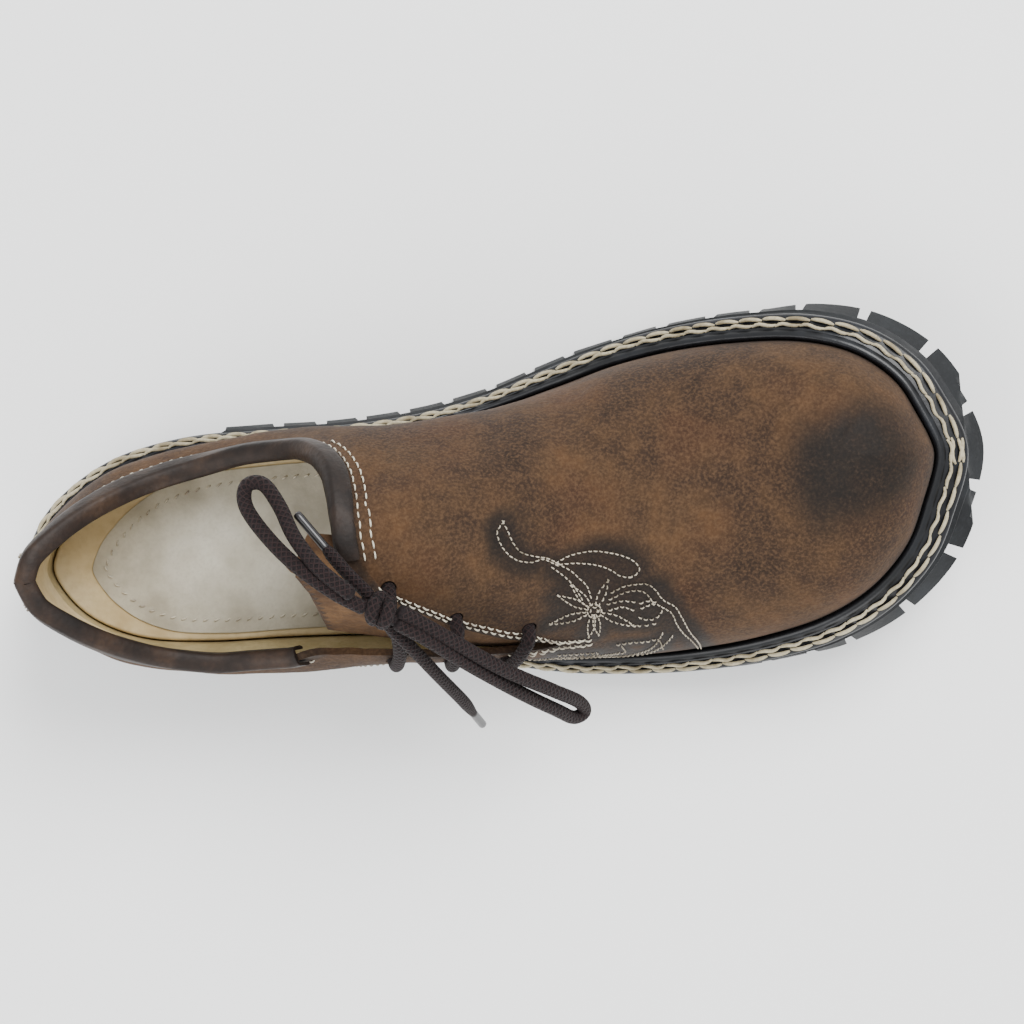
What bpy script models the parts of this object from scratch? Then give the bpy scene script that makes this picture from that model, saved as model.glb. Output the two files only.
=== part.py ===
"""Traditional side-laced leather shoe for the right foot, with a lugged rubber sole.

Metres, +X to the toe, +Y to the inner side of the foot, +Z up, standing on the plane z = 0.
Every piece follows one last: an outline of the welt seen from above, a side profile of the welt,
and columns that climb from the outline to the crest of the vamp or to the collar.
"""

import math

import bmesh
import bpy
import numpy as np
from mathutils import Vector

# Driving dimensions
LENGTH = 0.300          # whole shoe, heel to toe
BALL_WIDTH = 0.1100     # welt across the ball of the foot
INSTEP_HEIGHT = 0.100   # floor to the top of the throat
HEEL_STACK = 0.027      # floor to the welt at the heel
BALL_STACK = 0.015      # floor to the welt at the ball
TOE_SPRING = 0.034      # rise of the welt from ball to toe

UPPER_WALL = 0.0022
WELT_THICK = 0.0030
BEAD_HEIGHT = 0.0034
BEAD_WIDTH = 0.0030
MIDSOLE_THICK = 0.0042
INSOLE_THICK = 0.0060
INSOLE_GAP = 0.0006     # insole to the wall of the upper
GAP = 0.0003            # between pieces that meet

HEEL_SEAT = 0.0150      # depth of the waist below the welt
LUG_HEIGHT = 0.0042
LUG_DEPTH = 0.0130      # how far an edge groove runs in
GROOVE = 0.0036         # width of an edge groove
SIDE_PITCH = 0.0135     # edge lugs along the sides
TOE_PITCH = 0.0210      # edge lugs round the toe
HEEL_PITCH = 0.0150
CENTRE_PITCH = 0.0230   # lugs down the middle
OVERSHOOT = 0.0040      # how far a cutter runs out of what it cuts
TREAD_FLARE = 0.0018    # tread beyond the welt's edge
TOE_FLARE = 0.0055      # more of it at the toe
HEEL_TAPER = 0.0030     # heel tread inside the welt's edge

BINDING_WIDTH = 0.0052
BINDING_INSIDE = 0.0030
BINDING_THICK = 0.0011
BINDING_GAP = 0.0005
BINDING_INSIDE_GAP = 0.0011
BACKSTAY_WIDTH = 0.0120
BACKSTAY_THICK = 0.0012
BACKSTAY_GAP = 0.0004
TONGUE_THICK = 0.0018

LACE = 0.0042           # lace diameter
LACE_HOLE = 0.0046
AGLET = 0.0026
AGLET_LENGTH = 0.0120
LACE_REST = 0.0004      # lace to what it lies on

TOE_OVERHANG = 0.0075   # tread ahead of the welt at the toe
WELT_TIP = LENGTH / 2 - TOE_OVERHANG
HEEL_TIP = -LENGTH / 2

# Welt from above: share of the length ahead of the middle, inner and outer half widths as
# shares of the ball width
WELT_OUTLINE = [
    # along, inner, outer
    (0.455, 0.235, 0.105),
    (0.430, 0.345, 0.235),
    (0.385, 0.437, 0.352),
    (0.327, 0.487, 0.432),
    (0.260, 0.500, 0.478),
    (0.195, 0.492, 0.498),
    (0.130, 0.462, 0.497),
    (0.060, 0.407, 0.477),
    (-0.010, 0.350, 0.435),
    (-0.080, 0.318, 0.392),
    (-0.160, 0.310, 0.357),
    (-0.240, 0.320, 0.338),
    (-0.320, 0.322, 0.328),
    (-0.390, 0.290, 0.302),
    (-0.445, 0.215, 0.235),
    (-0.482, 0.118, 0.135),
]
TOE_TIP_SHARE = 0.070    # sideways place of the two tips, of the ball width
HEEL_TIP_SHARE = -0.008

# Side profile of the welt: height of its underside above the floor
WELT_PROFILE = [
    # along, height
    (-0.500, HEEL_STACK),
    (-0.300, HEEL_STACK),
    (-0.160, BALL_STACK + 0.58 * (HEEL_STACK - BALL_STACK)),
    (-0.060, BALL_STACK + 0.12 * (HEEL_STACK - BALL_STACK)),
    (0.000, BALL_STACK),
    (0.095, BALL_STACK),
    (0.170, BALL_STACK + 0.13 * TOE_SPRING),
    (0.255, BALL_STACK + 0.43 * TOE_SPRING),
    (0.340, BALL_STACK + 0.75 * TOE_SPRING),
    (0.476, BALL_STACK + TOE_SPRING),
]

# Depth of the rubber's underside below the welt
SOLE_DEPTH = [
    # along, depth
    (-0.500, HEEL_STACK),
    (-0.322, HEEL_STACK),
    (-0.300, HEEL_STACK - 0.004),
    (-0.285, HEEL_SEAT - LUG_HEIGHT + 0.002),
    (-0.260, HEEL_SEAT - LUG_HEIGHT + 0.001),
    (-0.235, BALL_STACK),
    (0.250, BALL_STACK),
    (0.476, BALL_STACK - 0.0015),
]

# Width of welt that shows outside the upper
WELT_SHOW = [
    # along, width
    (-0.500, 0.0062),
    (-0.300, 0.0050),
    (-0.150, 0.0046),
    (-0.030, 0.0050),
    (0.080, 0.0066),
    (0.200, 0.0076),
    (0.330, 0.0082),
    (0.476, 0.0100),
]

# Crest of the vamp against the place of its column: shares of the length, ball width and
# instep height
CREST = [
    # along, crest_along, across, height, squareness
    (-0.115, -0.155, 0.036, 1.000, 2.45),
    (-0.070, -0.103, 0.036, 0.970, 2.40),
    (-0.010, -0.032, 0.036, 0.895, 2.30),
    (0.060, 0.045, 0.040, 0.785, 2.25),
    (0.130, 0.118, 0.045, 0.692, 2.25),
    (0.200, 0.185, 0.055, 0.645, 2.30),
    (0.270, 0.245, 0.068, 0.652, 2.35),
    (0.350, 0.295, 0.082, 0.690, 2.40),
    (0.420, 0.328, 0.092, 0.712, 2.40),
    (0.476, 0.352, 0.096, 0.712, 2.40),
]

# Collar and throat: share of the way round the feather from throat to heel, then the edge itself
INNER_COLLAR = [
    # round, along, across, height, closing angle
    (0.000, -0.155, 0.036, 1.000, 90),
    (0.035, -0.155, 0.120, 0.975, 78),
    (0.075, -0.157, 0.195, 0.925, 66),
    (0.125, -0.169, 0.255, 0.835, 56),
    (0.180, -0.195, 0.282, 0.735, 50),
    (0.260, -0.238, 0.280, 0.660, 46),
    (0.370, -0.294, 0.256, 0.615, 44),
    (0.480, -0.340, 0.230, 0.640, 42),
    (0.620, -0.394, 0.178, 0.730, 42),
    (0.760, -0.432, 0.120, 0.805, 42),
    (0.880, -0.458, 0.060, 0.840, 42),
    (1.000, -0.467, 0.000, 0.850, 42),
]
OUTER_COLLAR = [
    # round, along, across, height, closing angle
    (0.000, -0.155, 0.036, 1.000, 90),
    (0.035, -0.154, -0.020, 0.990, 80),
    (0.075, -0.155, -0.090, 0.950, 70),
    (0.125, -0.163, -0.180, 0.850, 60),
    (0.180, -0.185, -0.262, 0.740, 52),
    (0.260, -0.228, -0.305, 0.650, 46),
    (0.370, -0.285, -0.305, 0.612, 44),
    (0.480, -0.335, -0.280, 0.635, 42),
    (0.620, -0.390, -0.215, 0.725, 42),
    (0.760, -0.430, -0.140, 0.800, 42),
    (0.880, -0.457, -0.070, 0.838, 42),
    (1.000, -0.467, 0.000, 0.850, 42),
]

# How far the upper swells outside its own feather line
SWELL = [
    # along, inner, outer
    (-0.500, 0.0010, 0.0010),
    (-0.440, 0.0014, 0.0018),
    (-0.380, 0.0026, 0.0036),
    (-0.260, 0.0042, 0.0055),
    (-0.160, 0.0058, 0.0058),
    (-0.060, 0.0052, 0.0045),
    (0.020, 0.0030, 0.0022),
    (0.120, 0.0010, 0.0008),
    (0.476, 0.0, 0.0),
]

# Lacing slit on the outer side: way round as a share of the way from toe to throat, then the
# heights of its two edges as shares of the column; past 1 it runs off the collar
SLIT = [
    # round, quarter_edge, vamp_edge
    (0.760, 0.405, 0.425),
    (0.785, 0.393, 0.445),
    (0.840, 0.380, 0.490),
    (0.890, 0.378, 0.535),
    (0.930, 0.380, 0.590),
    (0.974, 0.388, 0.665),
    (1.004, 0.410, 0.760),
    (1.016, 0.425, 0.880),
    (1.024, 0.435, 1.080),
    (1.045, 0.485, 1.110),
    (1.070, 0.555, 1.120),
    (1.095, 0.660, 1.120),
    (1.135, 0.890, 1.120),
    (1.156, 1.060, 1.120),
]
VAMP_CORNER = 0.035      # where the slit meets the binding: share of the way from throat to heel
QUARTER_CORNER = 0.235

# Tongue: way round as a share of the way from toe to throat, where it starts and ends up the
# column, how far it is sunk below the leather and how far it is carried on behind the throat
TONGUE_ROWS = [
    # round, low, high, sunk, carried
    (0.700, 0.34, 0.66, 0.0006, 0.000),
    (0.780, 0.33, 0.72, 0.0008, 0.000),
    (0.860, 0.32, 0.80, 0.0012, 0.000),
    (0.930, 0.32, 0.90, 0.0022, 0.000),
    (0.985, 0.33, 1.00, 0.0030, 0.000),
    (0.985, 0.34, 1.00, 0.0032, 0.010),
    (0.985, 0.36, 0.93, 0.0032, 0.018),
    (0.985, 0.38, 0.80, 0.0032, 0.027),
]
TONGUE_ACROSS = 8
TONGUE_TAPER = 0.20      # how far the carried leaf moves inward, per length carried back

# Lace holes, placed as the slit is
VAMP_HOLES = [(0.990, 0.800), (0.914, 0.620), (0.800, 0.545)]
QUARTER_HOLES = [(1.035, 0.395), (0.950, 0.335), (0.850, 0.310)]

# Routes of the lace, in metres
KNOT = (-0.0365, -0.0170, 0.1023)
LOOP_REAR = [(-0.0413, -0.0155, 0.1049), (-0.0490, -0.0100, 0.1070), (-0.0590, -0.0010, 0.1065),
             (-0.0665, 0.0080, 0.1035), (-0.0710, 0.0160, 0.1010), (-0.0702, 0.0215, 0.1000),
             (-0.0655, 0.0215, 0.1005), (-0.0615, 0.0150, 0.1020), (-0.0580, 0.0060, 0.1050),
             (-0.0520, -0.0030, 0.1085), (-0.0440, -0.0110, 0.1090)]
LOOP_SIDE = [(-0.0319, -0.0213, 0.1030), (-0.0250, -0.0265, 0.1000), (-0.0130, -0.0370, 0.0900),
             (0.0000, -0.0480, 0.0765), (0.0100, -0.0560, 0.0640), (0.0150, -0.0600, 0.0560),
             (0.0185, -0.0590, 0.0535), (0.0170, -0.0550, 0.0590), (0.0095, -0.0490, 0.0715),
             (-0.0040, -0.0395, 0.0860), (-0.0180, -0.0280, 0.0970), (-0.0306, -0.0179, 0.1041)]
END_REAR = [(-0.0392, -0.0125, 0.1021), (-0.0450, -0.0050, 0.1036), (-0.0500, 0.0022, 0.1028)]
END_SIDE = [(-0.0354, -0.0211, 0.0998), (-0.0290, -0.0300, 0.0940), (-0.0230, -0.0400, 0.0820),
            (-0.0175, -0.0500, 0.0650), (-0.0150, -0.0560, 0.0530)]
ROUTE_STEP = 0.0050     # between the points of a lace's tube
KNOT_SIZE = (0.0048, 0.0042, 0.0044)
BAR_ARCH = (0.0026, 0.0010, 0.0010)   # rise of each bar between its holes, top bar first

# Fineness of the faceted surfaces
ROWS = 10
TOE_STATIONS = 9
BALL_STATIONS = 15
COLLAR_STATIONS = (0.018, 0.035, 0.055, 0.075, 0.100, 0.130, 0.175, 0.235, 0.31, 0.39, 0.47,
                   0.55, 0.63, 0.71, 0.79, 0.86, 0.92, 0.965)
THROAT_ALONG = -0.115 * LENGTH
INNER, OUTER = 1, -1


def through(rows, column, x):
    """Smooth curve without overshoot through one column of a table, read at x."""
    xs = np.array([row[0] for row in rows], dtype=float)
    ys = np.array([row[column] for row in rows], dtype=float)
    steps = np.diff(xs)
    rates = np.diff(ys) / steps
    slopes = np.zeros(len(xs))
    slopes[0] = rates[0]
    slopes[-1] = rates[-1]
    for i in range(1, len(xs) - 1):
        if rates[i - 1] * rates[i] > 0:
            before, after = 2 * steps[i] + steps[i - 1], steps[i] + 2 * steps[i - 1]
            slopes[i] = (before + after) / (before / rates[i - 1] + after / rates[i])
    x = min(max(x, xs[0]), xs[-1])
    i = int(min(np.searchsorted(xs, x, side="right") - 1, len(xs) - 2))
    t = (x - xs[i]) / steps[i]
    rise = (t**3 - 2 * t**2 + t) * slopes[i] + (t**3 - t**2) * slopes[i + 1]
    blend = 3 * t**2 - 2 * t**3
    return float((1 - blend) * ys[i] + blend * ys[i + 1] + steps[i] * rise)


def smooth_path(points, step, closed=False):
    """Points a step apart along a smooth curve through the given ones."""
    pts = [Vector(p) for p in points]
    count = len(pts)
    dense = []
    for i in range(count if closed else count - 1):
        near, far = pts[i], pts[(i + 1) % count]
        before = pts[(i - 1) % count] if closed or i else near * 2 - far
        after = pts[(i + 2) % count] if closed or i < count - 2 else far * 2 - near
        for k in range(16):
            t = k / 16
            pull = 2 * before - 5 * near + 4 * far - after
            turn = 3 * near - before - 3 * far + after
            dense.append(0.5 * (2 * near + (far - before) * t + pull * t**2 + turn * t**3))
    dense.append(pts[0] if closed else pts[-1])
    lengths = [0.0]
    for a, b in zip(dense, dense[1:]):
        lengths.append(lengths[-1] + (b - a).length)
    pieces = max(2, round(lengths[-1] / step))
    result = []
    for k in range(pieces + (0 if closed else 1)):
        at = lengths[-1] * k / pieces
        i = min(int(np.searchsorted(lengths, at, side="right")) - 1, len(dense) - 2)
        share = (at - lengths[i]) / max(lengths[i + 1] - lengths[i], 1e-9)
        result.append(dense[i].lerp(dense[i + 1], share))
    return result


def trace_welt():
    """Fine closed outline of the welt, split into an inner and an outer side from toe to heel."""
    toe = (WELT_TIP, TOE_TIP_SHARE * BALL_WIDTH, 0)
    heel = (HEEL_TIP, HEEL_TIP_SHARE * BALL_WIDTH, 0)
    inner = [(along * LENGTH, half * BALL_WIDTH, 0) for along, half, _ in WELT_OUTLINE]
    outer = [(along * LENGTH, -half * BALL_WIDTH, 0) for along, _, half in WELT_OUTLINE]
    ring = smooth_path([toe] + inner + [heel] + outer[::-1], 0.0010, closed=True)
    split = min(range(len(ring)), key=lambda i: ring[i].x)
    front = max(range(len(ring)), key=lambda i: ring[i].x)
    if front > split:
        front -= len(ring)
    inner_side = [ring[i] for i in range(front, split + 1)]
    outer_side = [ring[i % len(ring)] for i in range(front + len(ring), split - 1, -1)]
    return {INNER: np.array(inner_side), OUTER: np.array(outer_side)}


SIDES = trace_welt()


def arc_of(side):
    """Length along one side of the outline, from the toe, as a share."""
    run = np.concatenate([[0], np.cumsum(np.linalg.norm(np.diff(SIDES[side], axis=0), axis=1))])
    return run / run[-1]


INNER_ARC = arc_of(INNER)


def station_at(x):
    """Share of the way round the inner side at which the outline reaches x."""
    return float(np.interp(-x, -SIDES[INNER][:, 0], INNER_ARC))


def welt_point(side, round_share):
    """Point on the welt's edge and its outward direction, from above."""
    x = float(np.interp(round_share, INNER_ARC, SIDES[INNER][:, 0]))
    line = SIDES[side]
    index = float(np.interp(-x, -line[:, 0], np.arange(len(line))))
    low = int(min(max(index, 0), len(line) - 1.001))
    here = line[low] + (line[low + 1] - line[low]) * (index - low)
    reach = 4
    back, ahead = line[max(low - reach, 0)], line[min(low + 1 + reach, len(line) - 1)]
    if low < reach or low + 1 + reach > len(line) - 1:
        other = SIDES[-side]
        if low < reach:
            back = other[reach - low]
        else:
            ahead = other[len(other) - 1 - (low + 1 + reach - (len(line) - 1))]
    run = ahead - back
    out = Vector((run[1], -run[0], 0)).normalized() * side
    return Vector((x, float(here[1]), 0)), out


def outline_point(side, round_share, grow):
    """Outline grown or shrunk sideways from the welt's edge."""
    point, out = welt_point(side, round_share)
    return point + out * grow


def welt_height(x):
    return through(WELT_PROFILE, 1, x / LENGTH)


def tilt(x):
    """Slope angle of the welt at x."""
    step = 0.001
    return math.atan2(welt_height(x + step) - welt_height(x - step), 2 * step)


def bend(point, depth):
    """Put a flat point on the welt's curved plane, at a depth square to it."""
    angle = tilt(point.x)
    return Vector((point.x + depth * math.sin(angle), point.y,
                   welt_height(point.x) - depth * math.cos(angle)))


def feather(side, round_share):
    """Line where the upper meets the welt, in the flat."""
    show = through(WELT_SHOW, 1, welt_point(side, round_share)[0].x / LENGTH)
    return outline_point(side, round_share, -show)


THROAT = station_at(THROAT_ALONG)


def top_of_column(side, round_share):
    """Where a column ends: its point, its slope there, how far it closes over, its squareness."""
    base_along = welt_point(side, round_share)[0].x / LENGTH
    squareness = through(CREST, 4, base_along)
    if round_share <= THROAT:
        def crest(along):
            return Vector((through(CREST, 1, along) * LENGTH, through(CREST, 2, along) * BALL_WIDTH,
                           through(CREST, 3, along) * INSTEP_HEIGHT))
        step = 0.004
        run = crest(base_along + step) - crest(base_along - step)
        return crest(base_along), run.z / run.x, math.pi / 2, squareness
    rows = INNER_COLLAR if side == INNER else OUTER_COLLAR
    way = (round_share - THROAT) / (1 - THROAT)
    point = Vector((through(rows, 1, way) * LENGTH, through(rows, 2, way) * BALL_WIDTH,
                    through(rows, 3, way) * INSTEP_HEIGHT))
    slope_left = max(0.0, 1 - way / 0.15)
    return point, -0.28 * slope_left, math.radians(through(rows, 4, way)), squareness


def surface(side, round_share, up):
    """The last's outer surface: up is 0 at the feather and 1 at the crest or the collar."""
    flat = feather(side, round_share)
    base = bend(flat, WELT_THICK - GAP)
    angle = tilt(flat.x)
    normal = Vector((-math.sin(angle), 0, math.cos(angle)))
    top, slope, closing, squareness = top_of_column(side, round_share)
    rise = top - base
    climb = (rise.z - slope * rise.x) / (normal.z - slope * normal.x)
    inward = rise - normal * climb
    power = 2 / squareness
    theta = closing * up
    lean = (1 - math.cos(theta) ** power) / (1 - max(math.cos(closing), 0.0) ** power)
    lift = (math.sin(theta) / math.sin(closing)) ** power
    column = 1 if side == INNER else 2
    upright = (WELT_THICK + BEAD_HEIGHT) / climb
    swelling = max(0.0, (lift - upright) / (1 - upright))
    swell = through(SWELL, column, flat.x / LENGTH) * math.sin(math.pi * swelling) ** 2
    out = welt_point(side, round_share)[1]
    return base + inward * lean + normal * climb * lift + out * swell


def surface_normal(side, round_share, up):
    step = 0.004
    up = min(up, 1.0)
    low, high = max(up - step, 0.0), min(up + step, 1.0)
    near, far = max(round_share - step, 0.0), min(round_share + step, 1.0)
    climb = surface(side, round_share, high) - surface(side, round_share, low)
    run = surface(side, far, up) - surface(side, near, up)
    return run.cross(climb).normalized() * side


def stations():
    """Shares of the way round at which every piece is sampled."""
    toe_end = station_at(0.36 * LENGTH)
    toe = [toe_end * i / TOE_STATIONS for i in range(TOE_STATIONS)]
    ball = [toe_end + (THROAT - toe_end) * i / BALL_STATIONS for i in range(BALL_STATIONS + 1)]
    collar = [THROAT + (1 - THROAT) * way for way in COLLAR_STATIONS]
    return toe + ball + collar + [1.0]


STATIONS = stations()


def loop_of(line):
    """Closed loop round the shoe of line(side, round_share): inner side to the heel, then back."""
    inner = [line(INNER, at) for at in STATIONS]
    outer = [line(OUTER, at) for at in STATIONS[1:-1]]
    return inner + outer[::-1]


def material(name, colour, roughness, metallic=0.0):
    made = bpy.data.materials.new(name)
    made.use_nodes = True
    shader = made.node_tree.nodes["Principled BSDF"]
    shader.inputs["Base Color"].default_value = (*colour, 1.0)
    shader.inputs["Roughness"].default_value = roughness
    shader.inputs["Metallic"].default_value = metallic
    return made


def finish_mesh(name, bm, look, collection):
    """Object from a bmesh, with faces outward, smooth apart from sharp edges."""
    bmesh.ops.remove_doubles(bm, verts=bm.verts, dist=1e-6)
    bmesh.ops.recalc_face_normals(bm, faces=bm.faces)
    mesh = bpy.data.meshes.new(name)
    bm.to_mesh(mesh)
    bm.free()
    mesh.shade_smooth()
    mesh.set_sharp_from_angle(angle=math.radians(40))
    made = bpy.data.objects.new(name, mesh)
    if look:
        mesh.materials.append(look)
    collection.objects.link(made)
    return made


def ring_mesh(sections, closed_path=True):
    """Loft through sections of equal length; an open path gets end caps."""
    bm = bmesh.new()
    rings = [[bm.verts.new(p) for p in section] for section in sections]
    count = len(rings)
    for i in range(count if closed_path else count - 1):
        here, there = rings[i], rings[(i + 1) % count]
        for k in range(len(here)):
            after = (k + 1) % len(here)
            bm.faces.new((here[k], here[after], there[after], there[k]))
    if not closed_path:
        bm.faces.new(rings[0])
        bm.faces.new(rings[-1][::-1])
    return bm


def plate_mesh(levels):
    """Solid between a lower and an upper loop, laddered across from side to side.

    levels lists closed loops from the bottom to the top.
    """
    bm = bmesh.new()
    rings = [[bm.verts.new(p) for p in level] for level in levels]
    count = len(rings[0])
    for low, high in zip(rings, rings[1:]):
        for k in range(count):
            after = (k + 1) % count
            bm.faces.new((low[k], low[after], high[after], high[k]))
    half = len(STATIONS) - 1
    for ring in (rings[0], rings[-1]):
        for k in range(half):
            inner_a, inner_b = ring[k], ring[k + 1]
            outer_a, outer_b = ring[-k % count], ring[-(k + 1) % count]
            corners = []
            for corner in (inner_a, inner_b, outer_b, outer_a):
                if corner not in corners:
                    corners.append(corner)
            bm.faces.new(corners)
    return bm


def plate(name, look, collection, levels):
    """Plate of the sole: each level is a depth below the welt and how far it is grown."""
    loops = []
    for depth, grow in levels:
        loops.append(loop_of(lambda side, at: bend(outline_point(side, at, grow), depth)))
    return finish_mesh(name, plate_mesh(loops), look, collection)


def flare(x):
    """Extra width of the tread, more round the toe."""
    return TREAD_FLARE + TOE_FLARE * max(0.0, (x / LENGTH - 0.28) / 0.185)


def tread_point(side, at, share):
    """Point on the rubber's side: share is 0 at its top and 1 at the tread."""
    point, out = welt_point(side, at)
    x = point.x
    top = WELT_THICK + MIDSOLE_THICK + 2 * GAP
    low = x / LENGTH < -0.28
    grow = (-HEEL_TAPER if low else flare(x)) * share
    grown = point + out * grow
    bottom = through(SOLE_DEPTH, 1, min(grown.x, WELT_TIP) / LENGTH)
    return bend(grown, top + (bottom - top) * share)


def groove_box(bm, centre, along, out, length, width, depth_low, depth_high):
    """Box of a groove in the tread, laid on the bent sole."""
    corners = []
    for depth in (depth_low, depth_high):
        for a, b in ((-length, -1), (OVERSHOOT, -1), (OVERSHOOT, 1), (-length, 1)):
            corners.append(bm.verts.new(bend(centre + out * a + along * (b * width / 2), depth)))
    low, high = corners[:4], corners[4:]
    bm.faces.new(low[::-1])
    bm.faces.new(high)
    for k in range(4):
        after = (k + 1) % 4
        bm.faces.new((low[k], low[after], high[after], high[k]))


def groove_places(side):
    """Where the edge grooves of one side lie, as shares round, with the pitch of each stretch."""
    line = SIDES[side]
    run = np.concatenate([[0], np.cumsum(np.linalg.norm(np.diff(line, axis=0), axis=1))])
    places = []
    at = TOE_PITCH / 2
    while at < run[-1] - 0.006:
        x = float(np.interp(at, run, line[:, 0]))
        along = x / LENGTH
        if along > 0.36:
            pitch = TOE_PITCH
        elif along > -0.24:
            pitch = SIDE_PITCH
        else:
            pitch = HEEL_PITCH
        if along > -0.225 or -0.47 < along < -0.345:
            places.append(x)
        at += pitch
    return places


def tread_cutters(collection):
    """Grooves between the lugs: round the edge and down the middle."""
    bm = bmesh.new()
    for side in (INNER, OUTER):
        for x in groove_places(side):
            at = station_at(x)
            centre, out = welt_point(side, at)
            heel = x / LENGTH < -0.28
            depth = through(SOLE_DEPTH, 1, x / LENGTH)
            length = LUG_DEPTH * (0.75 if heel else 1.0)
            centre = centre + out * (0.0 if heel else flare(x))
            groove_box(bm, centre, Vector((-out.y, out.x, 0)), out, length, GROOVE,
                       depth - LUG_HEIGHT, depth + OVERSHOOT)
    first, last = -0.20 * LENGTH, 0.40 * LENGTH
    count = int((last - first) / CENTRE_PITCH)
    for i in range(count + 1):
        x = first + CENTRE_PITCH * i
        inner, outer = welt_point(INNER, station_at(x))[0].y, welt_point(OUTER, station_at(x))[0].y
        half = (inner - outer) / 2 - LUG_DEPTH - GROOVE
        centre = Vector((x, (inner + outer) / 2 + half, 0))
        groove_box(bm, centre, Vector((1, 0, 0)), Vector((0, 1, 0)), 2 * half, GROOVE,
                   BALL_STACK - LUG_HEIGHT, BALL_STACK + OVERSHOOT)
    made = finish_mesh("tread_grooves", bm, None, collection)
    made.hide_render = True
    made.display_type = "WIRE"
    return made


def cut(target, cutter):
    """Boolean difference that keeps the cutter as its own object."""
    modifier = target.modifiers.new("cut", "BOOLEAN")
    modifier.operation = "DIFFERENCE"
    modifier.solver = "EXACT"
    modifier.object = cutter


def make_outsole(look, collection, cutters):
    levels = []
    for share in (1.0, 0.45, 0.0):
        levels.append(loop_of(lambda side, at: tread_point(side, at, share)))
    outsole = finish_mesh("outsole", plate_mesh(levels), look, collection)
    cut(outsole, tread_cutters(cutters))
    return outsole


def make_midsole(look, collection):
    top = WELT_THICK + GAP
    bottom = top + MIDSOLE_THICK
    return plate("midsole", look, collection, [(bottom, -0.0004), (bottom - 0.0010, 0.0), (top, -0.0006)])


def make_welt(look, collection):
    """Flat strip outside the upper, with a raised bead against it."""
    def section(side, at):
        point, out = welt_point(side, at)
        show = through(WELT_SHOW, 1, point.x / LENGTH)
        inside = GAP - show
        shape = [(inside, WELT_THICK), (inside, -BEAD_HEIGHT * 0.8),
                 (inside + 0.25 * BEAD_WIDTH, -BEAD_HEIGHT),
                 (inside + 0.65 * BEAD_WIDTH, -BEAD_HEIGHT * 0.75), (inside + BEAD_WIDTH, -BEAD_HEIGHT * 0.1),
                 (inside + 1.1 * BEAD_WIDTH, 0.0), (-0.0008, 0.0), (0.0, 0.0009), (0.0, WELT_THICK)]
        return [bend(point + out * grow, depth) for grow, depth in shape]
    return finish_mesh("welt", ring_mesh(loop_of(section)), look, collection)


def make_insole(look, collection):
    inset = UPPER_WALL + INSOLE_GAP

    def edge(shrink, depth):
        return loop_of(lambda side, at: bend(
            feather(side, at) - welt_point(side, at)[1] * (inset + shrink), depth))
    levels = [edge(0.0008, WELT_THICK - GAP * 0.5), edge(0.0, WELT_THICK - 0.001),
              edge(0.0006, WELT_THICK - INSOLE_THICK)]
    return finish_mesh("insole", plate_mesh(levels), look, collection)


def shell_mesh(rows):
    """Open outer surface of the upper: columns from the feather to the crest or the collar."""
    bm = bmesh.new()
    grid = {}
    for side in (INNER, OUTER):
        for i, at in enumerate(STATIONS):
            for k in range(rows + 1):
                up = k / rows
                shared = i in (0, len(STATIONS) - 1) or (k == rows and at <= THROAT + 1e-9)
                if side == OUTER and shared:
                    grid[side, i, k] = grid[INNER, i, k]
                else:
                    grid[side, i, k] = bm.verts.new(surface(side, at, up))
    for side in (INNER, OUTER):
        for i in range(len(STATIONS) - 1):
            for k in range(rows):
                corners = [grid[side, i, k], grid[side, i + 1, k],
                           grid[side, i + 1, k + 1], grid[side, i, k + 1]]
                if side == OUTER:
                    corners = corners[::-1]
                bm.faces.new(corners)
    return bm


def slit_cutter(collection):
    """Slab that follows the outer surface between the slit's two edges."""
    across, reach_out, reach_in = 5, 1.2 * UPPER_WALL, 1.7 * UPPER_WALL
    sections = []
    for share, low, high in SLIT:
        ups = [low + (high - low) * k / across for k in range(across + 1)]
        points = [(surface(OUTER, THROAT * share, up), surface_normal(OUTER, THROAT * share, up))
                  for up in ups]
        above = [point + out * reach_out for point, out in points]
        below = [point - out * reach_in for point, out in points]
        sections.append(above + below[::-1])
    made = finish_mesh("lacing_slit", ring_mesh(sections, closed_path=False), None, collection)
    made.hide_render = True
    made.display_type = "WIRE"
    return made


def hole_place(place):
    """Point of a lace hole on the outer surface and its outward direction."""
    share, up = place
    at = THROAT * share
    return surface(OUTER, at, up), surface_normal(OUTER, at, up)


def hole_cutter(number, place, collection):
    point, out = hole_place(place)
    bm = bmesh.new()
    bmesh.ops.create_cone(bm, cap_ends=True, segments=10, radius1=LACE_HOLE / 2, radius2=LACE_HOLE / 2,
                          depth=4 * UPPER_WALL)
    turn = out.to_track_quat("Z", "Y").to_matrix().to_4x4()
    bmesh.ops.transform(bm, matrix=turn, verts=bm.verts)
    bmesh.ops.translate(bm, vec=point - out * UPPER_WALL, verts=bm.verts)
    made = finish_mesh("lace_hole_%d" % number, bm, None, collection)
    made.hide_render = True
    made.display_type = "WIRE"
    return made


def make_upper(look, collection, cutters):
    upper = finish_mesh("upper", shell_mesh(ROWS), look, collection)
    wall = upper.modifiers.new("wall", "SOLIDIFY")
    wall.thickness = UPPER_WALL
    wall.offset = -1
    wall.use_even_offset = True
    cut(upper, slit_cutter(cutters))
    for number, place in enumerate(VAMP_HOLES + QUARTER_HOLES):
        cut(upper, hole_cutter(number + 1, place, cutters))
    return upper


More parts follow.
